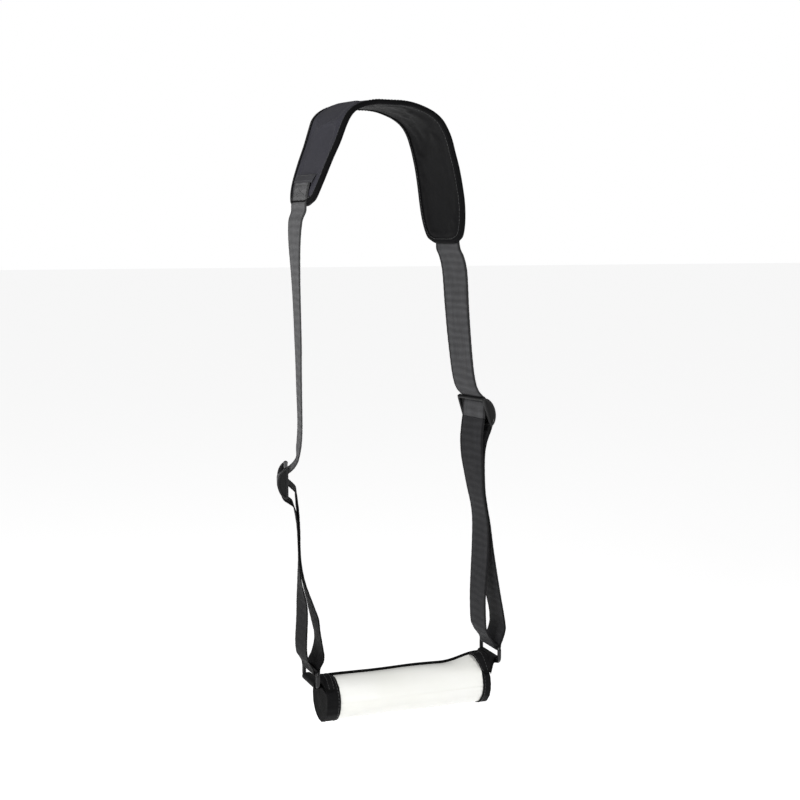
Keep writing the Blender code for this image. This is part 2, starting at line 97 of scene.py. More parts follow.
class Nodes:
    """Short calls for building one material's node tree."""

    def __init__(self, name, colour, roughness, **sockets):
        self.material = bpy.data.materials.new(name)
        self.material.use_nodes = True
        self.material.diffuse_color = (*colour, 1.0)
        self.tree = self.material.node_tree
        self.shader = self.tree.nodes["Principled BSDF"]
        self.put(self.shader, {"Base Color": (*colour, 1.0), "Roughness": roughness, **sockets})

    def put(self, node, inputs):
        for key, value in inputs.items():
            if isinstance(value, bpy.types.NodeSocket):
                self.tree.links.new(value, node.inputs[key])
            else:
                node.inputs[key].default_value = value

    def add(self, kind, inputs=None, out=0, **settings):
        node = self.tree.nodes.new(kind)
        for key, value in settings.items():
            setattr(node, key, value)
        self.put(node, inputs or {})
        return node.outputs[out]

    def math(self, operation, a, b=0.0, c=0.0):
        return self.add("ShaderNodeMath", {0: a, 1: b, 2: c}, operation=operation)

    def uv(self):
        """The place on the cloth in metres: across and along."""
        coordinates = self.add("ShaderNodeUVMap", uv_map="UVMap")
        node = self.tree.nodes.new("ShaderNodeSeparateXYZ")
        self.tree.links.new(coordinates, node.inputs[0])
        return coordinates, node.outputs[0], node.outputs[1]

    def place(self):
        return self.add("ShaderNodeTexCoord", out="Object")

    def noise(self, vector, scale, detail=3.0, roughness=0.55, stretch=(1, 1, 1)):
        mapped = self.add("ShaderNodeMapping", {"Vector": vector, "Scale": stretch})
        return self.add("ShaderNodeTexNoise", {"Vector": mapped, "Scale": scale, "Detail": detail,
                                               "Roughness": roughness}, out="Fac")

    def ramp(self, value, low, high, to_low=0.0, to_high=1.0):
        return self.add("ShaderNodeMapRange", {"Value": value, "From Min": low, "From Max": high,
                                               "To Min": to_low, "To Max": to_high}, clamp=True)

    def shade(self, colour, factor):
        """Multiply a colour, or a fixed one, by a changing factor."""
        return self.add("ShaderNodeVectorMath", {0: colour, "Scale": factor}, operation="SCALE")

    def blend(self, factor, a, b):
        node = self.tree.nodes.new("ShaderNodeMix")
        node.data_type = "RGBA"
        for socket, value in ((node.inputs[0], factor), (node.inputs[6], a), (node.inputs[7], b)):
            if isinstance(value, bpy.types.NodeSocket):
                self.tree.links.new(value, socket)
            else:
                socket.default_value = value if isinstance(value, float) else (*value, 1.0)[:4]
        return node.outputs[2]

    def bump(self, height, distance, strength=1.0, under=None):
        inputs = {"Height": height, "Distance": distance, "Strength": strength}
        if under is not None:
            inputs["Normal"] = under
        return self.add("ShaderNodeBump", inputs)

    def done(self, **outputs):
        self.put(self.shader, {key.replace("_", " "): value for key, value in outputs.items()})
        return self.material


def woven(n, u, v, across, along):
    """A plain weave's height from 0 to 1, from thread pitches across and along the cloth."""
    column = n.math("DIVIDE", u, across)
    shift = n.math("MULTIPLY", n.math("FLOOR", column), pi)
    rib = n.math("ABSOLUTE", n.math("SINE", n.math("MULTIPLY", column, pi)))
    pick = n.math("SINE", n.math("ADD", n.math("MULTIPLY", v, 2 * pi / along), shift))
    return n.math("MULTIPLY", rib, n.math("MULTIPLY_ADD", pick, 0.35, 0.65))


WEB_RIB, WEB_PICK = 0.0012, 0.0017
WEB_BAND, WEB_BAND_DEPTH = 0.0095, 0.12
# Insets from each edge where the painted edge shade starts and where it is full, and how dark it gets.
SELVEDGE, SELVEDGE_PAINTED_SHADE = (0.0048, 0.0026), 0.35


def webbing_look(name, colour):
    """Polyester webbing: lengthwise ribs, cross picks, painted shade darkening the selvedges, and slow tone
    changes.
    """
    n = Nodes(name, colour, 0.62, **{"Sheen Weight": 0.01, "Sheen Roughness": 0.45,
                                     "Sheen Tint": (0.8, 0.8, 0.85, 1.0), "Specular IOR Level": 0.06})
    coordinates, u, v = n.uv()
    weave = woven(n, u, v, WEB_RIB, WEB_PICK)
    tone = n.noise(coordinates, 1.0, 3.0, 0.6, (90, 22, 1))
    streak = n.noise(coordinates, 1.0, 2.0, 0.5, (900, 14, 1))
    wave = n.noise(coordinates, 1.0, 1.0, 0.5, (30, 40, 1))
    phase = n.math("MULTIPLY_ADD", wave, 6.0, n.math("MULTIPLY", v, 2 * pi / WEB_BAND))
    band = n.math("MULTIPLY_ADD", n.math("SINE", phase), WEB_BAND_DEPTH, 1.0)
    factor = n.math("MULTIPLY", n.ramp(weave, 0.0, 1.0, 0.55, 1.15), n.ramp(tone, 0.3, 0.7, 0.85, 1.15))
    factor = n.math("MULTIPLY", factor, n.ramp(streak, 0.3, 0.7, 0.9, 1.1))
    factor = n.math("MULTIPLY", factor, band)
    # Painted shade: the colour darkens over the last few millimetres towards each edge.
    start, end = (WEB_WIDTH / 2 - inset for inset in SELVEDGE)
    edge = n.ramp(n.math("ABSOLUTE", u), start, end, 1.0, SELVEDGE_PAINTED_SHADE)
    factor = n.math("MULTIPLY", factor, edge)
    fine = n.bump(weave, 0.00035, 0.8)
    return n.done(Base_Color=n.shade(colour, factor), Normal=fine,
                  Roughness=n.ramp(weave, 0.0, 1.0, 0.75, 0.5))


def cloth_look(name, colour, roughness, across, along, depth, sheen=0.02, mottle=0.12):
    """A woven or knitted cloth whose weave follows its UV map, with slow tone changes."""
    n = Nodes(name, colour, roughness, **{"Sheen Weight": sheen, "Sheen Roughness": 0.5,
                                          "Sheen Tint": (0.85, 0.85, 0.9, 1.0), "Specular IOR Level": 0.04})
    coordinates, u, v = n.uv()
    weave = woven(n, u, v, across, along)
    tone = n.noise(coordinates, 1.0, 4.0, 0.6, (45, 45, 1))
    threads = n.ramp(weave, 0.0, 1.0, 0.7, 1.12)
    factor = n.math("MULTIPLY", threads, n.ramp(tone, 0.3, 0.7, 1 - mottle, 1 + mottle))
    rumple = n.bump(n.noise(coordinates, 1.0, 2.0, 0.5, (60, 38, 1)), 0.0012, 0.5)
    return n.done(Base_Color=n.shade(colour, factor), Normal=n.bump(weave, depth, 0.8, rumple),
                  Roughness=n.ramp(tone, 0.3, 0.7, roughness - 0.06, roughness + 0.06))


def satin_look(name, colour):
    """The pad's smooth outer cover: a tight satin cloth with a soft broad shine and slight rumples."""
    n = Nodes(name, colour, 0.42, **{"Sheen Weight": 0.005, "Sheen Roughness": 0.4,
                                     "Specular IOR Level": 0.06})
    coordinates, u, v = n.uv()
    weave = woven(n, u, v, 0.0007, 0.0009)
    tone = n.noise(coordinates, 1.0, 3.0, 0.55, (28, 20, 1))
    dust = n.noise(coordinates, 1.0, 5.0, 0.7, (420, 420, 1))
    factor = n.math("MULTIPLY", n.ramp(tone, 0.3, 0.7, 0.88, 1.12), n.ramp(dust, 0.62, 0.8, 1.0, 1.25))
    rumple = n.bump(n.noise(coordinates, 1.0, 2.0, 0.45, (26, 18, 1)), 0.0016, 0.6)
    return n.done(Base_Color=n.shade(colour, factor), Normal=n.bump(weave, 0.00012, 0.6, rumple),
                  Roughness=n.ramp(tone, 0.3, 0.7, 0.36, 0.5))


def vinyl_look(name, colour):
    """Off-white coated cloth: fine grain, faint creases and a little yellowing and scuffing."""
    n = Nodes(name, colour, 0.34, **{"Coat Weight": 0.15, "Coat Roughness": 0.2, "Specular IOR Level": 0.5})
    coordinates, _, _ = n.uv()
    tone = n.noise(coordinates, 1.0, 3.0, 0.5, (14, 14, 1))
    creases = n.noise(coordinates, 1.0, 3.0, 0.5, (26, 60, 1))
    scuffs = n.noise(coordinates, 1.0, 6.0, 0.75, (160, 40, 1))
    grain = n.add("ShaderNodeTexVoronoi", {"Vector": coordinates, "Scale": 1300.0}, out="Distance")
    warm = n.blend(n.ramp(tone, 0.35, 0.65), (0.97, 0.97, 0.94), (1.0, 1.0, 0.99))
    factor = n.ramp(scuffs, 0.68, 0.85, 1.0, 0.93)
    tinted = n.add("ShaderNodeVectorMath", {0: warm, 1: colour}, operation="MULTIPLY")
    soft = n.bump(creases, 0.0011, 0.55)
    return n.done(Base_Color=n.shade(tinted, factor), Normal=n.bump(grain, 0.00008, 0.5, soft),
                  Roughness=n.ramp(scuffs, 0.35, 0.75, 0.28, 0.45))


def plastic_look(name, colour):
    """Moulded acetal: dark, satin, with a fine spark texture, rubbed edges and small scratches."""
    n = Nodes(name, colour, 0.3, **{"Specular IOR Level": 0.18})
    place = n.place()
    spark = n.noise(place, 2600.0, 2.0, 0.5)
    scratch = n.noise(place, 60.0, 6.0, 0.8, (1, 9, 1))
    worn = n.add("ShaderNodeNewGeometry", out="Pointiness")
    rubbed = n.ramp(worn, 0.52, 0.62, 0.0, 0.6)
    base = n.blend(rubbed, colour, (0.05, 0.05, 0.052))
    return n.done(Base_Color=base, Normal=n.bump(spark, 0.00006, 0.35),
                  Roughness=n.ramp(scratch, 0.35, 0.7, 0.24, 0.42))


def steel_look(name, colour):
    """Black-coated steel wire with fine draw marks and a few bright rubs."""
    n = Nodes(name, colour, 0.26, Metallic=0.55)
    place = n.place()
    marks = n.noise(place, 300.0, 4.0, 0.7, (1, 0.2, 1))
    rubs = n.noise(place, 140.0, 5.0, 0.8)
    base = n.blend(n.ramp(rubs, 0.66, 0.74), colour, (0.13, 0.13, 0.13))
    return n.done(Base_Color=base, Normal=n.bump(marks, 0.00005, 0.4),
                  Roughness=n.ramp(rubs, 0.3, 0.7, 0.2, 0.36))


def thread_look(name, colour):
    n = Nodes(name, colour, 0.5, **{"Sheen Weight": 0.3})
    twist = n.add("ShaderNodeTexWave", {"Vector": n.place(), "Scale": 700.0, "Distortion": 1.0}, out="Fac")
    return n.done(Base_Color=n.shade(colour, n.ramp(twist, 0.0, 1.0, 0.7, 1.2)),
                  Normal=n.bump(twist, 0.0001, 0.5))


# Painted light: both straps are one grey webbing. The left copy is made lighter as painted light and the right
# copy darker as painted shade.
WEB_UPPER_PAINTED_LIT_LEFT = webbing_look("webbing_grey_left_painted_lit", (0.126, 0.126, 0.129))
WEB_UPPER_PAINTED_SHADE_RIGHT = webbing_look("webbing_grey_right_painted_shade", (0.074, 0.074, 0.077))
# Painted light: both loops are one dark webbing. The left copy is made darker as painted shade and the right
# copy lighter as painted light.
WEB_LOWER_PAINTED_SHADE_LEFT = webbing_look("webbing_dark_left_painted_shade", (0.0075, 0.0075, 0.0079))
WEB_LOWER_PAINTED_LIT_RIGHT = webbing_look("webbing_dark_right_painted_lit", (0.030, 0.030, 0.032))
SATIN = satin_look("pad_satin", (0.037, 0.0365, 0.045))
LINING = cloth_look("pad_lining_knit", (0.0075, 0.0075, 0.0080), 0.5, 0.0016, 0.0022, 0.0003, 0.005, 0.2)
TAPE = cloth_look("binding_grosgrain", (0.004, 0.004, 0.0044), 0.6, 0.0030, 0.0011, 0.0003, 0.01)
FLAP_CLOTH = cloth_look("flap_cloth", (0.050, 0.050, 0.055), 0.55, 0.0010, 0.0012, 0.0002)
CAP_CLOTH = cloth_look("cap_cloth", (0.0060, 0.0060, 0.0064), 0.55, 0.0012, 0.0012, 0.0003, 0.01)
# Painted shade: the cap's end disc is the cap cloth again, made darker than the band.
DISC_CLOTH_PAINTED_SHADE = cloth_look("cap_disc_cloth_painted_shade", (0.0022, 0.0022, 0.0024), 0.6, 0.0012, 0.0012, 0.0003, 0.0)
PIPING_CLOTH = cloth_look("piping_cloth", (0.003, 0.003, 0.003), 0.5, 0.0011, 0.0011, 0.0002, 0.0)
VINYL = vinyl_look("roller_vinyl", (0.70, 0.70, 0.682))
PLASTIC = plastic_look("glide_plastic", (0.004, 0.004, 0.0042))
STEEL = steel_look("ring_steel", (0.012, 0.012, 0.013))
THREAD = thread_look("thread_dark", (0.018, 0.018, 0.019))
CORE = plastic_look("core_plastic", (0.35, 0.35, 0.34))


# ---------------------------------------------------------------- mesh helpers

def make(name, points, faces, look, uv=None, smooth=True):
    """One mesh object from arrays; uv gives each vertex its place on the cloth in metres."""
    mesh = bpy.data.meshes.new(name)
    mesh.from_pydata(np.asarray(points, float).tolist(), [], faces)
    bm = bmesh.new()
    bm.from_mesh(mesh)
    bmesh.ops.recalc_face_normals(bm, faces=bm.faces)
    bm.to_mesh(mesh)
    bm.free()
    if uv is not None:
        layer = mesh.uv_layers.new(name="UVMap")
        index = np.zeros(len(mesh.loops), int)
        mesh.loops.foreach_get("vertex_index", index)
        layer.data.foreach_set("uv", np.asarray(uv, float)[index].ravel())
    mesh.polygons.foreach_set("use_smooth", [smooth] * len(mesh.polygons))
    mesh.materials.append(look)
    item = bpy.data.objects.new(name, mesh)
    bpy.context.scene.collection.objects.link(item)
    return item


def tube_faces(rings, sides, closed=False):
    """Faces that join rings of points into a tube, closed on itself or with flat ends."""
    rows = [(i, (i + 1) % rings) for i in range(rings if closed else rings - 1)]
    faces = [[a * sides + k, a * sides + (k + 1) % sides, b * sides + (k + 1) % sides, b * sides + k]
             for a, b in rows for k in range(sides)]
    if not closed:
        faces += [list(range(sides))[::-1], list(range((rings - 1) * sides, rings * sides))]
    return faces


def sheet_faces(rows, columns):
    """Faces of an open grid of points."""
    return [[i * columns + j, (i + 1) * columns + j, (i + 1) * columns + j + 1, i * columns + j + 1]
            for i in range(rows - 1) for j in range(columns - 1)]


def resample(points, step):
    """Even samples along a polyline of any number of columns, the first three in metres."""
    run = run_of(points)
    at = np.linspace(0, run[-1], max(2, round(run[-1] / step)) + 1)
    return np.stack([np.interp(at, run, points[:, k]) for k in range(points.shape[1])], axis=1)


def run_of(points):
    return np.concatenate([[0], np.cumsum(np.linalg.norm(np.diff(points[:, :3], axis=0), axis=1))])


def smooth(rows, step=0.0015):
    """Even samples of the smooth curve through rows of (x, y, z, turn), in millimetres and degrees."""
    p = np.array(rows, float)
    p[:, :3] /= 1000.0
    ends = np.vstack([2 * p[0] - p[1], p, 2 * p[-1] - p[-2]])
    fine = [
        0.5 * (2 * b + (c - a) * t + (2 * a - 5 * b + 4 * c - d) * t**2 + (3 * b - a - 3 * c + d) * t**3)
        for a, b, c, d in zip(ends, ends[1:], ends[2:], ends[3:]) for t in np.arange(0.0, 1.0, 0.05)
    ]
    return resample(np.array([*fine, p[-1]]), step)


def unit(vectors):
    return vectors / np.linalg.norm(vectors, axis=-1, keepdims=True)


def frames(route):
    """Places, widthwise directions and face normals along a route."""
    turn = np.radians(route[:, 3])
    wide = np.stack([-np.sin(turn), np.cos(turn), np.zeros(len(turn))], axis=1)
    return route[:, :3], wide, unit(np.cross(np.gradient(route[:, :3], axis=0), wide))


def sweep(name, place, wide, normal, section, look, closed=False, run=None, u=None):
    """A solid strip: the closed section, rows of (across, up), set at each place on the path."""
    count = len(place)
    section = np.broadcast_to(section, (count, *np.shape(section)[-2:]))
    sides = section.shape[1]
    points = place[:, None] + section[..., :1] * wide[:, None] + section[..., 1:] * normal[:, None]
    run = run_of(place) if run is None else run
    across = section[..., 0] if u is None else np.broadcast_to(u, (count, sides))
    uv = np.stack([across, np.broadcast_to(run[:, None], across.shape)], axis=2)
    faces = tube_faces(count, sides, closed)
    return make(name, points.reshape(-1, 3), faces, look, uv.reshape(-1, 2))


def strip_section(width, thickness, columns=12, corner=4):
    """A flat strip's section with round edges, as rows of (across, up)."""
    r = thickness / 2
    flat = np.linspace(-1, 1, columns) * (width / 2 - r)
    edge = np.linspace(pi / 2, -pi / 2, corner + 1)[1:-1]
    top = [(y, r) for y in flat]
    right = [(width / 2 - r + r * cos(a), r * sin(a)) for a in edge]
    low = [(y, -r) for y in flat[::-1]]
    left = [(-(width / 2 - r + r * cos(a)), r * sin(a)) for a in edge[::-1]]
    return np.array(top + right + low + left)


def round_section(radius, sides=12):
    angles = np.linspace(0, 2 * pi, sides, endpoint=False)
    return radius * np.stack([np.cos(angles), np.sin(angles)], axis=1)


def merge(name, shapes, look):
    """One object from several (points, faces) shapes."""
    points, faces, start = [], [], 0
    for shape_points, shape_faces in shapes:
        points.append(shape_points)
        faces += [[start + k for k in face] for face in shape_faces]
        start += len(shape_points)
    return make(name, np.vstack(points), faces, look)


# A stitch's stations: place along it as a share of its length, and girth as a share of its radius.
STITCH = np.array([(-0.5, 0.35), (-0.36, 1.0), (0.0, 1.1), (0.36, 1.0), (0.5, 0.35)])
STITCH_SIDES = 6


def stitches(name, lines, length=0.0030, gap=0.0012, radius=0.00028):
    """Rows of thread: each line is (places, outward directions), and each stitch dips in at its ends."""
    angles = np.linspace(0, 2 * pi, STITCH_SIDES, endpoint=False)
    shapes = []
    for places, up in lines:
        both = resample(np.hstack([places, up]), length + gap)
        for a, b in zip(both, both[1:]):
            along = unit(b[:3] - a[:3])
            lift = unit((a[3:] + b[3:]) / 2)
            side = np.cross(along, lift)
            middle = (a[:3] + b[:3]) / 2
            rings = [middle + along * t * length + lift * (radius * (0.9 - 3.2 * t * t))
                     + radius * k * (np.cos(angles)[:, None] * side + np.sin(angles)[:, None] * lift)
                     for t, k in STITCH]
            shapes.append((np.vstack(rings), tube_faces(len(rings), STITCH_SIDES)))
    return merge(name, shapes, THREAD)


def smoothstep(value, low, high):
    t = np.clip((np.asarray(value, float) - low) / (high - low), 0, 1)
    return t * t * (3 - 2 * t)


def add_subdivision(item):
    modifier = item.modifiers.new("smooth", "SUBSURF")
    modifier.levels = modifier.render_levels = 1


# ---------------------------------------------------------------- shoulder pad

class Pad:
    """The pad's middle surface: s along it from the left end, y across it, n out of it."""

    def __init__(self):
        heading = radians(PAD_HEADING)
        mid = 1000 * PAD_HALF
        outline = [
            (-94.0, -116, 1.5), (-87.3, -93, 1.5), (-76.5, -65, 3), (-67.3, -44, 4.5), (-60.2, -25, 5.5),
            (-55.3, -14, 6.5), (-48.0, -6.0, 6.5), (-38.0, -0.6, 6.5), (-26.0, mid - 1.6, 6.5),
            (-16.0, mid, 6.5), (-8.0, mid, 6.5), (0.0, mid, 6.5), (8.0, mid, 6.5), (16.0, mid, 6.5),
            (30.0, mid - 1.6, 6.5), (46.0, -2.2, 6.5), (58.5, -7.8, 6.5), (68.5, -15.5, 6.5),
            (75.8, -26, 6.5), (81.0, -38, 7), (85.2, -52, 7), (91.0, -74, 8), (96.3, -104, 9),
            (99.8, -133, 10), (102.8, -160, 11),
        ]
        route = smooth([(s * cos(heading), s * sin(heading), z, turn) for s, z, turn in outline], 0.003)
        self.place, self.wide, self.normal = frames(route)
        self.turn = route[:, 3]
        self.run = run_of(route)
        self.length = self.run[-1]

    def read(self, table, s):
        return np.stack([np.interp(s, self.run, table[:, k]) for k in range(3)], axis=-1)

    def at(self, s, y, n):
        """World places of points on the pad, going straight on past its ends."""
        s, y, n = np.broadcast_arrays(np.asarray(s, float), y, n)
        inside = np.clip(s, 0, self.length)
        over = (s - inside)[..., None]
        along = np.where(over < 0, unit(self.place[1] - self.place[0]), unit(self.place[-1] - self.place[-2]))
        return (self.read(self.place, inside) + over * along
                + y[..., None] * self.read(self.wide, inside) + n[..., None] * self.up(inside))

    def up(self, s):
        return unit(self.read(self.normal, np.clip(s, 0, self.length)))

    def half_width(self, s):
        near_end = np.clip(np.minimum(s / PAD_TAPER_LEFT, (self.length - s) / PAD_TAPER_RIGHT), 0, 1)
        return PAD_WIDTH / 2 * (PAD_END_WIDTH + (1 - PAD_END_WIDTH) * np.sqrt(1 - (1 - near_end) ** 2))


PAD = Pad()
TAPE_REACH = 0.0060
RIM_HALF = 0.0019
TAPE_THICK = 0.0009
PAD_ROWS = 150
EDGE_INSET = 0.0012
BOUND = 0.0075
ROUND_END = 0.030
PUFF_PRESSURE = 4.0
PUFF_FRAMES = 20
PUFF_LIMIT = 0.0016
COVER_CROWN = 0.0042
LINING_CROWN = 0.0036
# Creases in the lining: run and side of both ends, depth and width in metres.
LINING_CREASES = [
    (0.262, -0.006, 0.292, 0.032, 0.0018, 0.0042), (0.246, -0.030, 0.262, -0.004, 0.0008, 0.0050),
    (0.225, 0.024, 0.244, 0.002, 0.0007, 0.0050), (0.300, 0.036, 0.325, 0.012, 0.0006, 0.0045),
    (0.205, -0.034, 0.222, -0.014, 0.0008, 0.0045), (0.128, -0.030, 0.140, 0.010, 0.0009, 0.0050),
    (0.112, 0.032, 0.126, 0.006, 0.0007, 0.0050), (0.150, 0.030, 0.166, 0.012, 0.0006, 0.0050),
]


def crease(s, y, rows):
    """How far the cloth is pushed in by the creases."""
    depth = np.zeros(np.broadcast(s, y).shape)
    for s0, y0, s1, y1, deep, width in rows:
        ds, dy = s1 - s0, y1 - y0
        size = ds * ds + dy * dy
        t = np.clip(((s - s0) * ds + (y - y0) * dy) / size, 0, 1)
        away = np.hypot(s - s0 - t * ds, y - y0 - t * dy)
        depth += deep * np.exp(-((away / width) ** 2)) * np.sin(pi * np.clip(t, 0.08, 0.92)) ** 0.5
    return depth


def pad_grid():
    """Run and side of the cushion's grid: close rows under the binding, even ones between."""
    edge = np.array([0.0, 0.0035, BOUND])
    even_from = 0.0125
    s = np.concatenate([edge + EDGE_INSET, np.linspace(even_from, PAD.length - even_from, PAD_ROWS),
                        PAD.length - EDGE_INSET - edge[::-1]])
    half = PAD.half_width(s) - EDGE_INSET
    inner = np.linspace(-1, 1, 17)[1:-1]
    y = np.stack([np.concatenate([-h + edge, inner * (h - BOUND), (h - edge)[::-1]]) for h in half])
    return np.broadcast_to(s[:, None], y.shape), y


def cushion_height(s, y, crown):
    """Thickness over the middle surface: thin under the binding, then crowned."""
    half = PAD.half_width(s) - EDGE_INSET - 0.0070
    across = np.clip(np.abs(y) / half, 0, 1)
    ends = np.clip(np.minimum(s, PAD.length - s) / ROUND_END, 0, 1)
    dome = np.sqrt(np.clip(1 - across**3.2, 0, 1)) * np.sqrt(1 - (1 - ends) ** 2)
    return RIM_HALF + (crown - RIM_HALF) * dome


def puff(points, faces, pinned):
    """Blow the closed cushion up as cloth with its edge held, and give back its points."""
    item = make("puffed_cushion", points, faces, SATIN)
    group = item.vertex_groups.new(name="held")
    group.add([int(k) for k in pinned], 1.0, "REPLACE")
    cloth = item.modifiers.new("cloth", "CLOTH")
    cloth.settings.quality = 6
    cloth.settings.mass = 0.25
    cloth.settings.tension_stiffness = 12
    cloth.settings.compression_stiffness = 12
    cloth.settings.bending_stiffness = 0.4
    cloth.settings.use_pressure = True
    cloth.settings.uniform_pressure_force = PUFF_PRESSURE
    cloth.settings.effector_weights.gravity = 0.0
    cloth.settings.shrink_min = -0.02
    cloth.settings.vertex_group_mass = "held"
    cloth.point_cache.frame_start, cloth.point_cache.frame_end = 1, PUFF_FRAMES
    scene = bpy.context.scene
    for number in range(1, PUFF_FRAMES + 1):
        scene.frame_set(number)
    mesh = item.evaluated_get(bpy.context.evaluated_depsgraph_get()).to_mesh()
    moved = np.zeros(len(points) * 3)
    mesh.vertices.foreach_get("co", moved)
    scene.frame_set(1)
    bpy.data.objects.remove(item, do_unlink=True)
    change = moved.reshape(-1, 3) - points
    size = np.linalg.norm(change, axis=1)
    limited = PUFF_LIMIT * np.tanh(size / PUFF_LIMIT)
    return points + change * (limited / np.maximum(size, 1e-9))[:, None]


def make_cushion():
    """Cover and lining, puffed together as one closed form, then parted at the bound edge."""
    s, y = pad_grid()
    rows, columns = s.shape
    top = PAD.at(s, y, cushion_height(s, y, COVER_CROWN))
    low = PAD.at(s, y, -cushion_height(s, y, LINING_CROWN))
    rim = np.zeros(s.shape, bool)
    rim[0] = rim[-1] = rim[:, 0] = rim[:, -1] = True
    held = np.zeros(s.shape, bool)
    held[:3] = held[-3:] = held[:, :3] = held[:, -3:] = True
    top[rim] = low[rim] = PAD.at(s, y, 0.0)[rim]
    top_index = np.arange(rows * columns).reshape(rows, columns)
    low_index = top_index.copy()
    low_index[~rim] = rows * columns + np.arange((~rim).sum())
    points = np.vstack([top.reshape(-1, 3), low[~rim]])
    faces = sheet_faces(rows, columns)
    low_faces = low_index.reshape(-1)[np.array(faces)[:, ::-1]].tolist()
    pinned = np.concatenate([top_index[held], low_index[held]])
    points = puff(points, faces + low_faces, np.unique(pinned))
    uv = np.stack([y, s], axis=2).reshape(-1, 2)
    low_points = points[low_index.reshape(-1)]
    up = PAD.up(s.reshape(-1))
    low_points = low_points + up * crease(s.reshape(-1), y.reshape(-1), LINING_CREASES)[:, None]
    for name, sheet_points, look, side in (("pad_cushion_cover", points[:rows * columns], SATIN, 1.0),
                                           ("pad_cushion_lining", low_points, LINING, -1.0)):
        item = make(name, sheet_points, faces if side > 0 else [f[::-1] for f in faces], look, uv)
        shell = item.modifiers.new("cloth_thickness", "SOLIDIFY")
        shell.thickness, shell.offset = 0.0010, -1.0 if normals_out(item, side) else 1.0
        add_subdivision(item)
        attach(item, "shoulder_pad")
        if side > 0:
            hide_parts("pad_outer_cover", "pad_foam")
        else:
            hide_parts("pad_lining")


def normals_out(item, side):
    """Whether the sheet's faces look away from the pad's middle."""
    face = item.data.polygons[len(item.data.polygons) // 2]
    s = PAD.length / 2
    return face.normal.dot(Vector(PAD.up(s) * side)) > 0


def rim_path():
    """The pad's outline, as rows of (run, side), anticlockwise and evenly spaced, with round corners."""
    s = np.concatenate([[0.0], np.linspace(0.006, PAD.length - 0.006, 120), [PAD.length]])
    half = PAD.half_width(s)
    far = np.stack([s, half], axis=1)
    near = np.stack([s, -half], axis=1)[::-1]
    loop = np.vstack([far[:-1], [[PAD.length, half[-1] - 0.004]], [[PAD.length, -half[-1] + 0.004]],
                      near[1:-1], [[0.0, -half[0] + 0.004]], [[0.0, half[0] - 0.004]]])
    closed = np.vstack([loop, loop[:1]])
    run = run_of(np.hstack([closed, np.zeros((len(closed), 1))]))
    at = np.linspace(0, run[-1], 420, endpoint=False)
    path = np.stack([np.interp(at, run, closed[:, k]) for k in range(2)], axis=1)
    for _ in range(3):
        path = (np.roll(path, 1, axis=0) + 2 * path + np.roll(path, -1, axis=0)) / 4
    return path


def rim_frames(path):
    """World places, outward directions and normals along the outline."""
    tangent = unit(np.roll(path, -1, axis=0) - np.roll(path, 1, axis=0))
    outward = np.stack([-tangent[:, 1], tangent[:, 0]], axis=1)
    centre = np.array([PAD.length / 2, 0.0])
    flip = np.sign(((path - centre) * outward).sum(axis=1).mean())
    outward = outward * flip
    place = PAD.at(path[:, 0], path[:, 1], 0.0)
    step = 0.0005
    out = unit(PAD.at(path[:, 0] + step * outward[:, 0], path[:, 1] + step * outward[:, 1], 0.0) - place)
    return place, out, PAD.up(path[:, 0])


TIP_RAISE = 0.0016
FOLD_AT, FOLD_REACH = -0.0010, 0.0026


def make_binding():
    """The folded tape round the pad's edge, with a stitch line on each face."""
    path = rim_path()
    place, out, up = rim_frames(path)
    tip = (np.minimum(path[:, 0], PAD.length - path[:, 0]) < 0.004).astype(float)
    for _ in range(4):
        tip = (np.roll(tip, 1) + tip + np.roll(tip, -1)) / 3
    corner = np.linspace(pi / 2, -pi / 2, 9)
    sections = []
    ripple = 0.00015 * np.sin(np.arange(len(path)) * 0.9) + 0.0001 * RANDOM.standard_normal(len(path))
    low, middle, edge = RIM_HALF + TAPE_THICK, -TAPE_REACH * 0.6, -TAPE_REACH * 0.3
    for raise_by, wave in zip(tip * TIP_RAISE, ripple):
        high = low + raise_by
        shell = [(-TAPE_REACH, high - 0.0001 + wave), (middle, high + 0.0003), (edge, high)]
        shell += [(FOLD_AT + FOLD_REACH * cos(a), (high if a > 0 else low) * sin(a)) for a in corner]
        shell += [(edge, -low), (middle, -low - 0.0003), (-TAPE_REACH, -low + 0.0001 + wave)]
        inner = [(max(o - (TAPE_THICK if o > FOLD_AT else 0.0), -TAPE_REACH), n - np.sign(n) * TAPE_THICK)
                 for o, n in shell[::-1]]
        sections.append(shell + inner)
    section = np.array(sections)
    girth = np.concatenate([[0], np.cumsum(np.linalg.norm(np.diff(section[0], axis=0), axis=1))])
    tape = sweep("pad_binding_tape", place, out, up, section, TAPE, closed=True,
                 run=run_of(place), u=girth - girth[len(girth) // 4])
    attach(tape, "shoulder_pad")
    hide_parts("pad_edge_binding")
    inset = TAPE_REACH - 0.0013
    lines = []
    for side, raised in ((1, TIP_RAISE * tip), (-1, 0 * tip)):
        level = side * (RIM_HALF + TAPE_THICK + 0.00025 + raised)
        line = place - inset * out + level[:, None] * up
        lines.append((np.vstack([line, line[:1]]), side * np.vstack([up, up[:1]])))
    thread = stitches("pad_binding_stitches", lines)
    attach(thread, "shoulder_pad")


# The sewn webbing's height over the pad's middle surface at runs from the tip.
WEB_LEVEL = [(0.033, 0.0052), (0.028, 0.0058), (0.022, 0.0056), (0.015, 0.0050), (0.009, 0.0043),
             (0.004, 0.0038), (-0.001, 0.0034)]


def web_on_pad(end):
    """Route rows, in millimetres, for the webbing sewn on one end of the pad, towards the tip."""
    rows = []
    for from_tip, level in WEB_LEVEL:
        s = from_tip if end < 0 else PAD.length - from_tip
        x, y, z = 1000 * PAD.at(s, 0.0, level)
        rows.append((x, y, z, float(np.interp(s, PAD.run, PAD.turn))))
    return rows


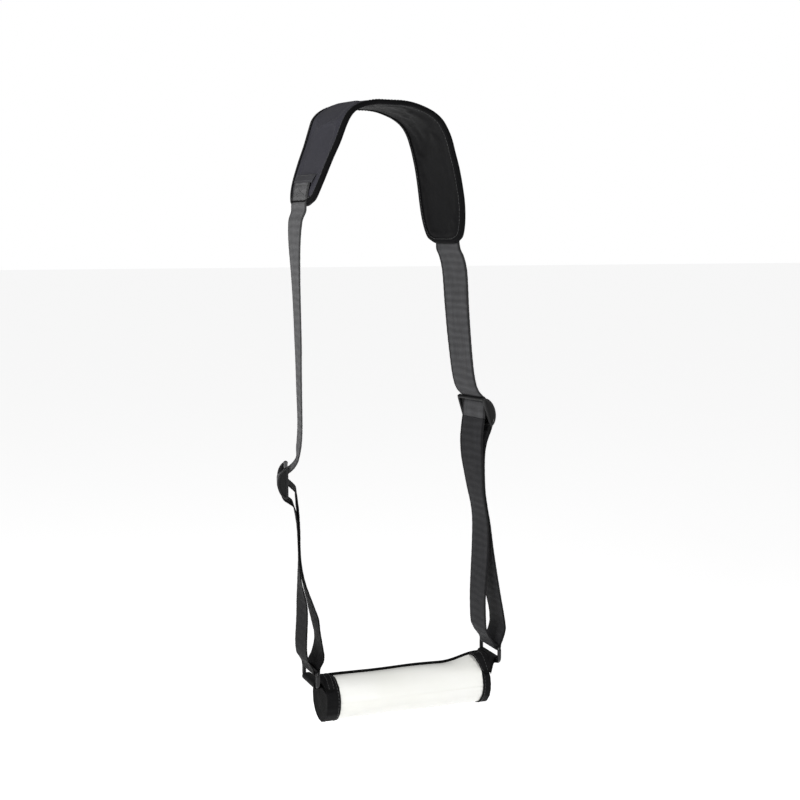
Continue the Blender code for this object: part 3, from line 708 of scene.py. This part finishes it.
FLAP_RUN = (0.0250, 0.0360)
FLAP_WIDTH = 0.058
FLAP_DROP = 0.0022
BOX_NEAR, BOX_FAR, BOX_HALF = 0.0085, 0.0215, 0.021


def flap_level(from_tip):
    return np.interp(from_tip, [0.025, 0.027, 0.034, 0.036], [0.0070, 0.0073, 0.0060, 0.0048])


def make_flaps():
    """The strip of cloth over each webbing end, with two rows of stitches, and the box sewn below it."""
    for end, side in (("left", -1), ("right", 1)):
        at = np.linspace(*FLAP_RUN, 12)
        s = at if side < 0 else PAD.length - at
        place, wide, normal = PAD.at(s, 0.0, flap_level(at)), unit(PAD.read(PAD.wide, s)), PAD.up(s)
        section = np.broadcast_to(strip_section(FLAP_WIDTH, 0.0009, 20), (12, 46, 2)).copy()
        over = np.clip(np.abs(section[..., 0]) - WEB_WIDTH / 2, 0, 1)
        section[..., 1] -= smoothstep(over, 0.0, 0.0035) * FLAP_DROP
        flap = sweep(f"pad_{end}_flap", place, wide, normal, section, FLAP_CLOTH)
        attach(flap, "shoulder_pad")
        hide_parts(f"{end}_strap_flap")
        lines = []
        for from_tip in (0.0268, 0.0340):
            line_s = np.full(30, from_tip if side < 0 else PAD.length - from_tip)
            y = np.linspace(-0.026, 0.026, 30)
            drop = smoothstep(np.abs(y) - WEB_WIDTH / 2, 0.0, 0.0035) * FLAP_DROP
            lines.append((PAD.at(line_s, y, flap_level(from_tip) + 0.0005 - drop), PAD.up(line_s)))
        a, b, c, d = [(run, y) for run in (BOX_FAR, BOX_NEAR) for y in (-BOX_HALF, BOX_HALF)]
        corners = np.array([a, b, d, c, a, d, c, b])
        fine = resample(np.hstack([corners, np.zeros((len(corners), 1))]), 0.001)
        tip, y = fine[:, 0], fine[:, 1]
        line_s = tip if side < 0 else PAD.length - tip
        lift = np.interp(tip, *zip(*WEB_LEVEL[::-1])) + WEB / 2 + 0.0001
        lines.append((PAD.at(line_s, y, lift), PAD.up(line_s)))
        thread = stitches(f"pad_{end}_flap_stitches", lines, 0.0026, 0.0010)
        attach(thread, "shoulder_pad")


# ---------------------------------------------------------------- webbing

class Glide:
    """Where one tri-glide stands: its middle, which side its cheeks bulge to, its lean and its turn."""

    def __init__(self, x, z, outward, lean, turn):
        self.x, self.z, self.outward = x, z, outward
        self.lean, self.turn = radians(lean), radians(turn)

    def place(self, out, up, side):
        flat = self.outward * (out * cos(self.lean) - up * sin(self.lean))
        x = self.x + flat * cos(self.turn) - side * sin(self.turn)
        y = flat * sin(self.turn) + side * cos(self.turn)
        z = self.z + out * sin(self.lean) + up * cos(self.lean)
        return np.stack(np.broadcast_arrays(x, y, z), axis=-1)

    def through(self, rows):
        slope, turn = np.tan(self.turn), np.degrees(self.turn)
        return [(x, (x - 1000 * self.x) * slope, z, turn) for x, z in rows]

    def wrap(self, first, last):
        """Rows for the webbing's turn round the middle bar."""
        x, _, z = self.place(GLIDE_BAR_OFFSET, 0.0, 0.0)
        return self.through(arc(x, z, GLIDE_BAR_R + WRAP_STEP, first, last))


def arc(cx, cz, radius, first, last, count=9):
    angles = np.linspace(radians(first), radians(last), count)
    return [(1000 * (cx + radius * cos(a)), 1000 * (cz + radius * sin(a))) for a in angles]


def round_ring(bar_x, bar_z):
    """Rows for the webbing's turn under a ring's upper bar."""
    turn_r = RING_WIRE_R + WRAP_STEP
    return [(x, 0.0, z, RING_TURN) for x, z in arc(bar_x, bar_z, turn_r, 195, 345)]


LEFT_GLIDE = Glide(-0.1120, -0.4435, -1, 0.0, -17.5)
RIGHT_GLIDE = Glide(0.1388, -0.3700, 1, 18.0, 9.0)

LEFT_UPPER = [
    *web_on_pad(-1), (-97.4, -10.8, -124, 1.5), (-101.2, -10.5, -135, 0), (-102.2, -9.5, -160, -3),
    (-100.6, -8, -197, -7), (-98.6, -6, -235, -9), (-96.7, -4, -280, -10), (-96.1, -3.2, -300, -11),
    (-95.2, -2, -335, -12), (-94.0, -0.6, -375, -13), (-94.6, 0, -395, -13), (-96.2, 0, -408.5, -14),
    *LEFT_GLIDE.through([(-99.4, -419.5), (-105.4, -428.2), (-115.6, -436.2), (-120.6, -440.1),
                         (-121.8, -444.5), (-120.9, -449.5)]),
]
LEFT_LOOP = [
    *LEFT_GLIDE.through([(-120.8, -449.8), (-119.6, -453.0), (-117.6, -457.0), (-116.1, -461.0),
                         (-113.4, -464.9)]),
    (-108.2, 0, -468.8, -16), (-103.9, 0, -472.6, -15.5), (-101.2, 0, -479.5, -15), (-99.3, 0, -490, -15.5),
    (-97.6, 0, -505.7, -17), (-96.9, 0, -525.5, -18), (-96.1, 0, -545, -17), (-95.6, 0, -565, -14),
    (-94.0, 0, -580, -9.0), (-92.8, 0, -595, -4.5), (-92.7, 0, -610, -3.5), (-93.3, 0, -625, -3.5),
    (-94.3, 0, -645, -3), (-93.8, 0, -656, -2.5), (-92.3, 0, -663.5, -2), (-89.2, 0, -668.6, -2),
    (-86.2, 0, -673.8, -2), *round_ring(LEFT_RING_X, LEFT_RING_Z), (-78.0, 0, -674.4, -2),
    (-75.8, 0, -669.9, -2), (-73.0, 0, -664.5, -2), (-71.7, 0, -657, -4), (-71.5, 0, -650, -7),
    (-72.4, 0, -640, -9), (-75.0, 0, -626.5, -8), (-77.6, 0, -612, -6), (-82.4, 0, -595.7, -8.5),
    (-90.6, 0, -568, -13), (-93.9, 0, -545, -17), (-95.0, 0, -525.5, -18), (-95.6, 0, -505.7, -17),
    (-97.0, 0, -488, -15.5), (-97.9, 0, -478, -15), (-98.6, 0, -470, -15.5), (-99.3, 0, -463, -16),
    *LEFT_GLIDE.through([(-100.6, -457), (-103.4, -452.4), (-107.7, -448.2), (-111.1, -445.1)]),
    *LEFT_GLIDE.wrap(10, 235),
]
RIGHT_UPPER = [
    *web_on_pad(1), (106.0, 11.4, -168, 12.5), (110.6, 10.0, -180, 13.5), (113.6, 8.4, -198, 13.6),
    (115.0, 6.5, -230, 12.5), (115.5, 6.0, -240, 12), (117.4, 4.5, -270, 11), (120.3, 2.5, -305, 9.5),
    (122.8, 1.2, -326, 9), (126.4, 0.0, -340.5, 9),
    *RIGHT_GLIDE.through([(132.1, -348.9), (136.9, -352.3), (138.1, -357.5), (136.8, -365.5),
                          (136.7, -372.5), (136.4, -378.5)]),
]
RIGHT_LOOP = [
    *RIGHT_GLIDE.through([(136.3, -378.8), (135.2, -386.5), (133.9, -397.5)]), (133.8, 0, -410, 9.5),
    (134.8, 0, -430, 8.5), (137.0, 0, -451, 4), (139.8, 0, -472, 0), (144.0, 0, -493, -2),
    (146.8, 0, -513.5, -1), (147.0, 0, -544.5, 0), (145.3, 0, -575.5, -1), (143.7, 0, -606.5, -2),
    (143.9, 0, -627.4, -2), (144.9, 0, -645, -2), (147.0, 0, -651.5, -2), (150.0, 0, -657.2, -2),
    (153.8, 0, -662.3, -2), (157.3, 0, -667.3, -2), *round_ring(RIGHT_RING_X, RIGHT_RING_Z),
    (166.1, 0, -667.4, -2), (168.2, 0, -662.8, -2), (169.9, 0, -658.0, -2), (171.6, 0, -652, -2),
    (172.1, 0, -646, -2), (170.4, 0, -632, -3), (165.4, 0, -608.5, -2), (159.2, 0, -577, -1),
    (153.4, 0, -545, 0), (149.4, 0, -513.5, -1), (146.0, 0, -493, -2), (141.8, 0, -472, 0),
    (138.9, 0, -451, 4), (136.9, 0, -431, 8.5), (137.6, 0, -417, 9.5), (140.8, 0, -404.5, 9),
    *RIGHT_GLIDE.through([(145.4, -394.5), (148.0, -386.5), (147.8, -381.0), (145.5, -375.1)]),
    *RIGHT_GLIDE.wrap(-40, 250),
]


def strap(name, rows, look, ripple):
    """Webbing on a route: round, slightly wavy selvedges and shallow puckers along it."""
    route = smooth(rows)
    place, wide, normal = frames(route)
    run = run_of(route)
    flat = strip_section(WEB_WIDTH, WEB, 14)
    section = np.broadcast_to(flat, (len(route), *flat.shape)).copy()
    side = section[..., 0] / (WEB_WIDTH / 2)
    phase = 2 * pi * run / 0.0094 + 1.3 * np.sin(run * 61.0)
    calm = smoothstep(np.minimum(run, run[-1] - run), 0.0, 0.02)
    pucker = ripple * np.sin(phase)[:, None] * np.cos(1.2 * side) * calm[:, None]
    selvedge = 0.00012 * np.sin(2 * pi * run / 0.0031)[:, None] * np.abs(side) ** 6
    section[..., 1] += pucker + selvedge
    across = np.broadcast_to(flat[:, 0], section.shape[:2])
    return sweep(name, place, wide, normal, section, look, u=across), run[-1]


# Each leg: routes, looks (painted lit and painted shade copies of one webbing), four places (pad end, glide
# top, glide low, ring top) which nothing reads, and the upper strap's pucker depth.
LEGS = (
    ("left", LEFT_UPPER, LEFT_LOOP, WEB_UPPER_PAINTED_LIT_LEFT, WEB_LOWER_PAINTED_SHADE_LEFT, (-0.10, 0.0, -0.150),
     (-0.097, 0.0, -0.415), (-0.10, 0.0, -0.452), (-0.085, 0.0, -0.662), 0.00012),
    ("right", RIGHT_UPPER, RIGHT_LOOP, WEB_UPPER_PAINTED_SHADE_RIGHT, WEB_LOWER_PAINTED_LIT_RIGHT, (0.107, 0.0, -0.200),
     (0.130, 0.0, -0.348), (0.138, 0.0, -0.402), (0.158, 0.0, -0.662), 0.00028),
)
LOOP_PUCKER = 0.00016


def make_straps():
    for end, upper, loop, upper_look, loop_look, pad_end, glide_top, glide_low, ring_top, pucker in LEGS:
        webbing, length = strap(f"{end}_webbing_upper", upper, upper_look, pucker)
        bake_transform(webbing)
        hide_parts(f"{end}_upper_strap", f"{end}_running_strap")
        lower, length = strap(f"{end}_webbing_loop", loop, loop_look, LOOP_PUCKER)
        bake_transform(lower)
        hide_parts(f"{end}_loop_outer_layer", f"{end}_loop_inner_layer", f"{end}_ring_bight",
                    f"{end}_sewn_end")


# ---------------------------------------------------------------- tri-glides

def d_outline(inset):
    """A cheek's outline as rows of (out, up): a straight inner edge, a bowed outer one, round corners."""
    reach = GLIDE_PITCH + GLIDE_BAR_R + 0.0002
    bow = [(-GLIDE_LIP + (GLIDE_BULGE + GLIDE_LIP) * cos(a), reach * sin(a))
           for a in np.linspace(-pi / 2, pi / 2, 41)]
    straight = [(-GLIDE_LIP, reach * t) for t in np.linspace(1, -1, 21)[1:-1]]
    loop = np.array(bow + straight)
    for _ in range(4):
        loop = (np.roll(loop, 1, axis=0) + 2 * loop + np.roll(loop, -1, axis=0)) / 4
    tangent = unit(np.roll(loop, -1, axis=0) - np.roll(loop, 1, axis=0))
    outward = np.stack([tangent[:, 1], -tangent[:, 0]], axis=1)
    return loop - inset * outward


def cheek_shape(glide, side):
    """A moulded end plate: rounded edges and a raised rim round a sunk face."""
    half = GLIDE_PLATE / 2
    rings = [(0.0010, -half), (0.0003, -half + 0.0003), (0.0, -half + 0.0010), (0.0, half - 0.0010),
             (0.0003, half - 0.0003), (0.0010, half), (0.0021, half), (0.0026, half - 0.0003),
             (0.0029, half - 0.0010), (0.0036, half - 0.0012)]
    points = []
    for inset, level in rings:
        outline = d_outline(inset)
        at = side * ((GLIDE_INNER + GLIDE_PLATE) / 2 + level)
        points.append(glide.place(outline[:, 0], outline[:, 1], at))
    return np.vstack(points), tube_faces(len(rings), len(points[0]))


def bar_shape(glide, out, up):
    """A bar with a slightly flattened round section, flaring where it meets the cheeks."""
    around = round_section(GLIDE_BAR_R, 20)
    reach = GLIDE_INNER / 2 + GLIDE_PLATE * 0.5
    stations = np.array([-1, -0.96, -0.93, -0.9, -0.6, -0.3, 0, 0.3, 0.6, 0.9, 0.93, 0.96, 1]) * reach
    points = []
    for at in stations:
        flare = 1 + 0.28 * np.exp(-(((reach - abs(at) - GLIDE_PLATE * 0.5) / 0.0011) ** 2))
        ring = around * flare
        points.append(glide.place(out + ring[:, 0] * 0.97, up + ring[:, 1], at))
    return np.vstack(points), tube_faces(len(stations), len(around))


def make_glide(end, glide):
    bars = [(0.0, GLIDE_PITCH), (GLIDE_BAR_OFFSET, 0.0), (0.0, -GLIDE_PITCH)]
    shapes = [cheek_shape(glide, side) for side in (-1, 1)]
    shapes += [bar_shape(glide, out, up) for out, up in bars]
    pieces = [make(f"glide_piece_{i}", points, faces, PLASTIC) for i, (points, faces) in enumerate(shapes)]
    body = pieces[0]
    for piece in pieces[1:]:
        union = body.modifiers.new("join", "BOOLEAN")
        union.operation, union.solver, union.object = "UNION", "EXACT", piece
    bpy.context.view_layer.update()
    mesh = bpy.data.meshes.new_from_object(body.evaluated_get(bpy.context.evaluated_depsgraph_get()))
    for piece in pieces:
        bpy.data.objects.remove(piece, do_unlink=True)
    item = bpy.data.objects.new(f"{end}_tri_glide", mesh)
    bpy.context.scene.collection.objects.link(item)
    mesh.polygons.foreach_set("use_smooth", [True] * len(mesh.polygons))
    item.modifiers.new("normals", "WEIGHTED_NORMAL").keep_sharp = True
    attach(item, f"{end}_glide")
    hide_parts(f"{end}_glide_frame")


# ---------------------------------------------------------------- rings

def make_ring(end, bar_x, bar_z):
    """A bent and welded wire ring, with its weld swelling on the lower bar."""
    half_y = RING_INNER / 2 + RING_WIRE_R
    half_z = RING_PITCH / 2
    points = []
    for number, (sy, sz) in enumerate(((1, 1), (-1, 1), (-1, -1), (1, -1))):
        cy, cz = sy * (half_y - RING_CORNER), sz * (half_z - RING_CORNER)
        points += [(cy + RING_CORNER * cos(a), cz + RING_CORNER * sin(a))
                   for a in np.linspace(number * pi / 2, (number + 1) * pi / 2, 10)]
    loop = np.array(points)
    closed = np.vstack([loop, loop[:1]])
    flat = resample(np.hstack([closed, np.zeros((len(closed), 1))]), 0.0009)[:-1, :2]
    turn = radians(RING_TURN)
    place = np.stack([bar_x - flat[:, 0] * sin(turn), flat[:, 0] * cos(turn),
                      bar_z - half_z + flat[:, 1]], axis=1)
    tangent = unit(np.roll(place, -1, axis=0) - np.roll(place, 1, axis=0))
    face = np.array([cos(turn), sin(turn), 0.0])
    out = np.cross(tangent, face)
    weld = (flat[:, 1] < 0) * np.exp(-((flat[:, 0] - 0.014) / 0.0016) ** 2)
    section = round_section(RING_WIRE_R, 14) * (1 + 0.07 * weld)[:, None, None]
    ring = sweep(f"{end}_wire_ring", place, out, np.broadcast_to(face, place.shape), section, STEEL,
                 closed=True)
    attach(ring, f"{end}_link")
    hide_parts(f"{end}_ring")


# ---------------------------------------------------------------- roller

FLARE = 0.0080


def flare_at(x):
    """How far the cover's seam is pulled up towards the right tab."""
    return FLARE * smoothstep(x, ROLLER_X + 0.050, ROLLER_X + ROLLER_HALF - 0.006) ** 1.2


def cover_radius(x, angle):
    """The padded roller's outside: slow flats and dents, and the pull of the seam at its right end."""
    slow = 0.00035 * np.sin(3 * angle + 40 * x + 0.4) + 0.00030 * np.sin(2 * angle - 61 * x + 1.9)
    slow = slow + 0.00022 * np.sin(5 * angle + 27 * x)
    ends = np.exp(-(ROLLER_HALF - np.abs(x - ROLLER_X) - 0.010) / 0.007)
    gather = 0.00035 * np.sin(19 * angle + 3 * np.sin(4 * angle)) * np.clip(ends, 0, 1)
    away = np.abs((angle - radians(PIPING_ANGLE) + pi) % (2 * pi) - pi)
    pull = flare_at(x) * np.exp(-((away / 0.46) ** 1.5))
    seam = 0.0006 * np.exp(-((away / 0.07) ** 2))
    return ROLLER_R + slow + gather + pull + seam


def roller_point(x, radius, angle):
    y, z = -radius * np.cos(angle), ROLLER_Z + radius * np.sin(angle)
    return np.stack(np.broadcast_arrays(x, y, z), axis=-1)


def make_roller():
    x = np.linspace(ROLLER_X - ROLLER_HALF + 0.0015, ROLLER_X + ROLLER_HALF - 0.0015, 120)
    angle = np.linspace(0, 2 * pi, 144, endpoint=False)
    grid_x, grid_a = np.meshgrid(x, angle, indexing="ij")
    outer = cover_radius(grid_x, grid_a)
    inside = x.size * angle.size
    points = np.vstack([roller_point(grid_x, outer, grid_a).reshape(-1, 3),
                        roller_point(grid_x, outer - 0.0010, grid_a).reshape(-1, 3)])
    sides = angle.size
    skin = tube_faces(x.size, sides)[:-2]
    faces = skin + [[inside + v for v in face[::-1]] for face in skin]
    for start in (0, (x.size - 1) * sides):
        for k in range(sides):
            a, b = start + k, start + (k + 1) % sides
            faces.append([a, inside + a, inside + b, b] if start == 0 else [b, inside + b, inside + a, a])
    uv = np.stack([grid_a * ROLLER_R, grid_x], axis=2).reshape(-1, 2)
    cover = make("roller_vinyl_cover", points, faces, VINYL, np.vstack([uv, uv]))
    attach(cover, "roller")
    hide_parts("roller_cover", "roller_foam")
    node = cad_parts["roller_core_tube"]
    node.data.materials.clear()
    node.data.materials.append(CORE)

    x = np.linspace(ROLLER_X - ROLLER_HALF + 0.0020, ROLLER_X + ROLLER_HALF - 0.0020, 160)
    angle = np.full(x.shape, radians(PIPING_ANGLE)) + 0.012 * np.sin(x * 55)
    radius = cover_radius(x, angle) + PIPING_R * 0.6
    place = roller_point(x, radius, angle)
    up = unit(roller_point(x, radius + 0.01, angle) - place)
    side = np.cross(unit(np.gradient(place, axis=0)), up)
    piping = sweep("roller_seam_piping", place, side, up, round_section(PIPING_R, 12), PIPING_CLOTH,
                   u=np.linspace(0, 0.0107, 12))
    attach(piping, "roller")
    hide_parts("roller_piping")


DISC_RINGS = 7


def make_cap(end, side):
    """A sewn cloth cup: a slightly domed disc, a piped rim, a band and its turned hem."""
    band = CAP_BANDS[side]
    profile = [(0.0, 0.0007), (0.004, 0.0007), (0.008, 0.0004), (0.012, 0.0001), (0.016, 0.0000),
               (0.020, 0.0002), (0.0235, 0.0004), (0.0252, 0.0004), (0.0258, -0.0002), (0.0264, 0.0006),
               (0.0273, 0.0010),
               (0.0281, 0.0006), (0.0283, -0.0004), (0.0279, -0.0014), (0.0279, -0.0022),
               (0.0281, -0.0045), (0.0280, -band * 0.6), (0.0280, -band + 0.0032), (0.0278, -band + 0.0027),
               (0.0281, -band + 0.0022), (0.0281, -band + 0.0008), (0.0277, -band), (0.0268, -band),
               (0.0268, -band * 0.5), (0.0268, -0.0016), (0.0255, -0.0012), (0.0, -0.0008)]
    angle = np.linspace(0, 2 * pi, 96, endpoint=False)
    sides = len(angle)
    points, uv, run = [], [], 0.0
    before = profile[0]
    for radius, out in profile:
        run += float(np.hypot(radius - before[0], out - before[1]))
        before = (radius, out)
        on_band = smoothstep(radius, 0.024, 0.028)
        pucker = 0.00030 * np.sin(17 * angle + 2.0 * np.sin(3 * angle)) * on_band
        dent = -0.0007 * np.exp(-((angle - 1.9) / 0.5) ** 2) * (radius / 0.02) * (1 - on_band)
        at = ROLLER_X + side * (ROLLER_HALF + out + dent)
        points.append(roller_point(at, radius + pucker, angle))
        uv.append(np.stack([angle * 0.02, np.full(sides, run)], axis=1))
    rings = len(profile)
    points = np.vstack(points)
    keep = np.concatenate([[0], np.arange(sides, (rings - 1) * sides), [(rings - 1) * sides]])
    index = np.full(len(points), -1)
    index[keep] = np.arange(len(keep))
    index[:sides] = 0
    index[(rings - 1) * sides:] = len(keep) - 1
    faces = [list(dict.fromkeys(index[face].tolist())) for face in tube_faces(rings, sides)[:-2]]
    cap = make(f"{end}_cap_cloth", points[keep], faces, CAP_CLOTH, np.vstack(uv)[keep])
    # The disc's rings take the darker, painted-shade copy of the cap cloth.
    cap.data.materials.append(DISC_CLOTH_PAINTED_SHADE)
    for number, face in enumerate(cap.data.polygons):
        face.material_index = int(number < DISC_RINGS * sides)
    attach(cap, "roller")
    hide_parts(f"{end}_end_cap")
    line_x = ROLLER_X + side * (ROLLER_HALF - band + 0.0027)
    around = np.linspace(0, 2 * pi, 121)
    line = roller_point(line_x, 0.0280, around)
    up = unit(line - np.array([line_x, 0.0, ROLLER_Z]))
    thread = stitches(f"{end}_cap_stitches", [(line, up)])
    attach(thread, "roller")


def make_tab(end, side, bar_x, bar_z):
    """The webbing tab: draped over the cap, flat round the ring's lower bar, and back under itself.

    Each row across it is (x, drop below the upper layer, drape), where drape goes from 1 on the cap, whose
    round the webbing follows, to 0 at the bar, where the webbing is flat.
    """
    turn_r = RING_WIRE_R + WRAP_STEP
    face_x = ROLLER_X + side * ROLLER_HALF
    skin_r = CAP_R + 0.0006 + WEB / 2
    top_z = bar_z - RING_PITCH + turn_r
    t = np.linspace(-1, 1, 27)
    widest = np.arcsin(WEB_WIDTH / 2 / skin_r)
    turn = radians(RING_TURN)
    lap = TAB_LAP + (0.008 * (1 - np.abs(t) ** 1.3) if side > 0 else 0.002 * (1 - np.abs(t)))
    rows = [(face_x - side * k * lap, 0.0, 1.0) for k in np.linspace(1, 0, 12)]
    rows += [(face_x + side * RING_REACH * k, 0.0, 1.0 - smoothstep(k, 0.0, TAB_FLAT))
             for k in np.linspace(0.1, TAB_FLAT, 7)]
    rows += [(bar_x + side * turn_r * cos(a), turn_r * (1 - sin(a)), 0.0)
             for a in np.linspace(pi / 2, -pi / 2, 14)]
    rows += [(face_x + side * RING_REACH * k, TAB_CLOSE + (2 * turn_r - TAB_CLOSE) * k,
              1.0 - smoothstep(k, 0.0, TAB_FLAT)) for k in np.linspace(TAB_FLAT, 0.1, 6)]
    surface = []
    for x, drop, drape in rows:
        x = np.broadcast_to(x, t.shape)
        angle = t * widest
        radius = np.full(t.shape, skin_r)
        if side > 0:
            pull = np.exp(-((np.abs(angle + 0.17) / 0.52) ** 1.6))
            radius += flare_at(x) * pull * smoothstep(x, bar_x - 0.004, face_x)
        y = drape * radius * np.sin(angle) + (1 - drape) * t * WEB_WIDTH / 2
        z = drape * (ROLLER_Z + radius * np.cos(angle)) + (1 - drape) * top_z - drop
        surface.append(np.stack([x - y * sin(turn) * (1 - drape), y, z], axis=1))
    surface = np.array(surface)
    count, sides = surface.shape[:2]
    across = np.gradient(surface, axis=1)
    along = np.gradient(surface, axis=0)
    normal = unit(np.cross(along, across)) * WEB / 2
    points = np.vstack([(surface + normal).reshape(-1, 3), (surface - normal).reshape(-1, 3)])
    shift = count * sides
    faces = sheet_faces(count, sides)
    faces += [[shift + v for v in face[::-1]] for face in faces]
    edge = list(range(sides)) + [i * sides + sides - 1 for i in range(1, count)]
    edge += [(count - 1) * sides + k for k in range(sides - 2, -1, -1)]
    edge += [i * sides for i in range(count - 2, 0, -1)]
    faces += [[b, a, shift + a, shift + b] for a, b in zip(edge, edge[1:] + edge[:1])]
    run = np.concatenate([[0], np.cumsum(np.linalg.norm(np.diff(surface[:, sides // 2], axis=0), axis=1))])
    uv = np.stack(np.broadcast_arrays(t[None] * WEB_WIDTH / 2, run[:, None]), axis=2).reshape(-1, 2)
    # The tabs use the darker, painted-shade copy of the loop webbing.
    tab = make(f"{end}_webbing_tab", points, faces, WEB_LOWER_PAINTED_SHADE_LEFT, np.vstack([uv, uv]))
    add_subdivision(tab)
    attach(tab, "roller")
    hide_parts(f"{end}_tab")
    lines = []
    for i in (1, 8):
        up = np.sign(normal[i, 1:-1, 2:3]) * normal[i, 1:-1]
        lines.append((surface[i, 1:-1] + up * 1.15, unit(up)))
    thread = stitches(f"{end}_tab_stitches", lines)
    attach(thread, "roller")


# ---------------------------------------------------------------- floor, light and camera

FLOOR_HALF = 30.0
FLOOR_COLOUR = (0.93, 0.93, 0.93)
SPOT_ANGLE = 22.0
CAMERA_PLACE = (-0.684, -1.7442, -0.1477)
CAMERA_TILT, CAMERA_TURN = 83.79, -22.44
CAMERA_LENS, CAMERA_SENSOR = 69.33, 36.0


def light(kind, name, place, target, power, **settings):
    data = bpy.data.lights.new(name, kind)
    data.energy = power
    for key, value in settings.items():
        setattr(data, key, value)
    item = bpy.data.objects.new(name, data)
    item.location = place
    item.rotation_euler = (Vector(target) - Vector(place)).to_track_quat("-Z", "Y").to_euler()
    bpy.context.scene.collection.objects.link(item)


def make_floor():
    n = Nodes("studio_floor", FLOOR_COLOUR, 0.9, **{"Specular IOR Level": 0.0, "Emission Strength": 0.73,
                                                    "Emission Color": (1.0, 1.0, 1.0, 1.0)})
    cloud = n.noise(n.place(), 3.0, 2.0)
    look = n.done(Base_Color=n.shade(FLOOR_COLOUR, n.ramp(cloud, 0, 1, 0.99, 1.01)))
    corners = [(x * FLOOR_HALF, y * FLOOR_HALF, FLOOR_Z) for x, y in ((-1, -1), (1, -1), (1, 1), (-1, 1))]
    floor = make("studio_floor", corners, [[0, 1, 2, 3]], look)


def make_studio():
    make_floor()
    world = bpy.data.worlds.new("studio")
    world.use_nodes = True
    tree = world.node_tree
    backdrop = tree.nodes["Background"]
    backdrop.inputs["Color"].default_value = (1.0, 1.0, 1.0, 1.0)
    seen = tree.nodes.new("ShaderNodeLightPath")
    direction = tree.nodes.new("ShaderNodeTexCoord")
    split = tree.nodes.new("ShaderNodeSeparateXYZ")
    tree.links.new(direction.outputs["Generated"], split.inputs[0])
    dome = tree.nodes.new("ShaderNodeMapRange")
    dome.inputs["From Max"].default_value = 0.7
    dome.inputs["To Min"].default_value, dome.inputs["To Max"].default_value = AMBIENT_HORIZON, AMBIENT_ABOVE
    tree.links.new(split.outputs["Z"], dome.inputs["Value"])
    strength = tree.nodes.new("ShaderNodeMapRange")
    strength.inputs["To Max"].default_value = 1.0
    tree.links.new(dome.outputs[0], strength.inputs["To Min"])
    tree.links.new(seen.outputs["Is Camera Ray"], strength.inputs["Value"])
    tree.links.new(strength.outputs[0], backdrop.inputs["Strength"])
    bpy.context.scene.world = world
    bpy.context.scene.view_settings.view_transform = "Standard"
    light("AREA", "key", (-1.5, -1.3, 0.5), (0.0, 0.0, -0.35), 33.0, shape="DISK", size=0.8)
    light("AREA", "fill", (1.5, -1.6, 0.2), (0.03, 0.0, -0.4), 5.0, shape="DISK", size=1.2)
    light("SPOT", "roller_spot", (-0.2, -1.0, 0.9), (ROLLER_X, 0.0, ROLLER_Z), 60.0,
          spot_size=radians(SPOT_ANGLE), spot_blend=0.8, shadow_soft_size=0.15)

    data = bpy.data.cameras.new("camera")
    data.lens, data.sensor_width = CAMERA_LENS, CAMERA_SENSOR
    camera = bpy.data.objects.new("camera", data)
    camera.location = CAMERA_PLACE
    camera.rotation_euler = (radians(CAMERA_TILT), 0.0, radians(CAMERA_TURN))
    bpy.context.scene.collection.objects.link(camera)
    bpy.context.scene.camera = camera


make_studio()
make_cushion()
make_binding()
make_flaps()
make_straps()
make_glide("left", LEFT_GLIDE)
make_glide("right", RIGHT_GLIDE)
make_ring("left", LEFT_RING_X, LEFT_RING_Z)
make_ring("right", RIGHT_RING_X, RIGHT_RING_Z)
make_roller()
for cap_end, cap_side in (("left", -1), ("right", 1)):
    make_cap(cap_end, cap_side)
make_tab("left", -1, LEFT_RING_X, LEFT_RING_Z)
make_tab("right", 1, RIGHT_RING_X, RIGHT_RING_Z)
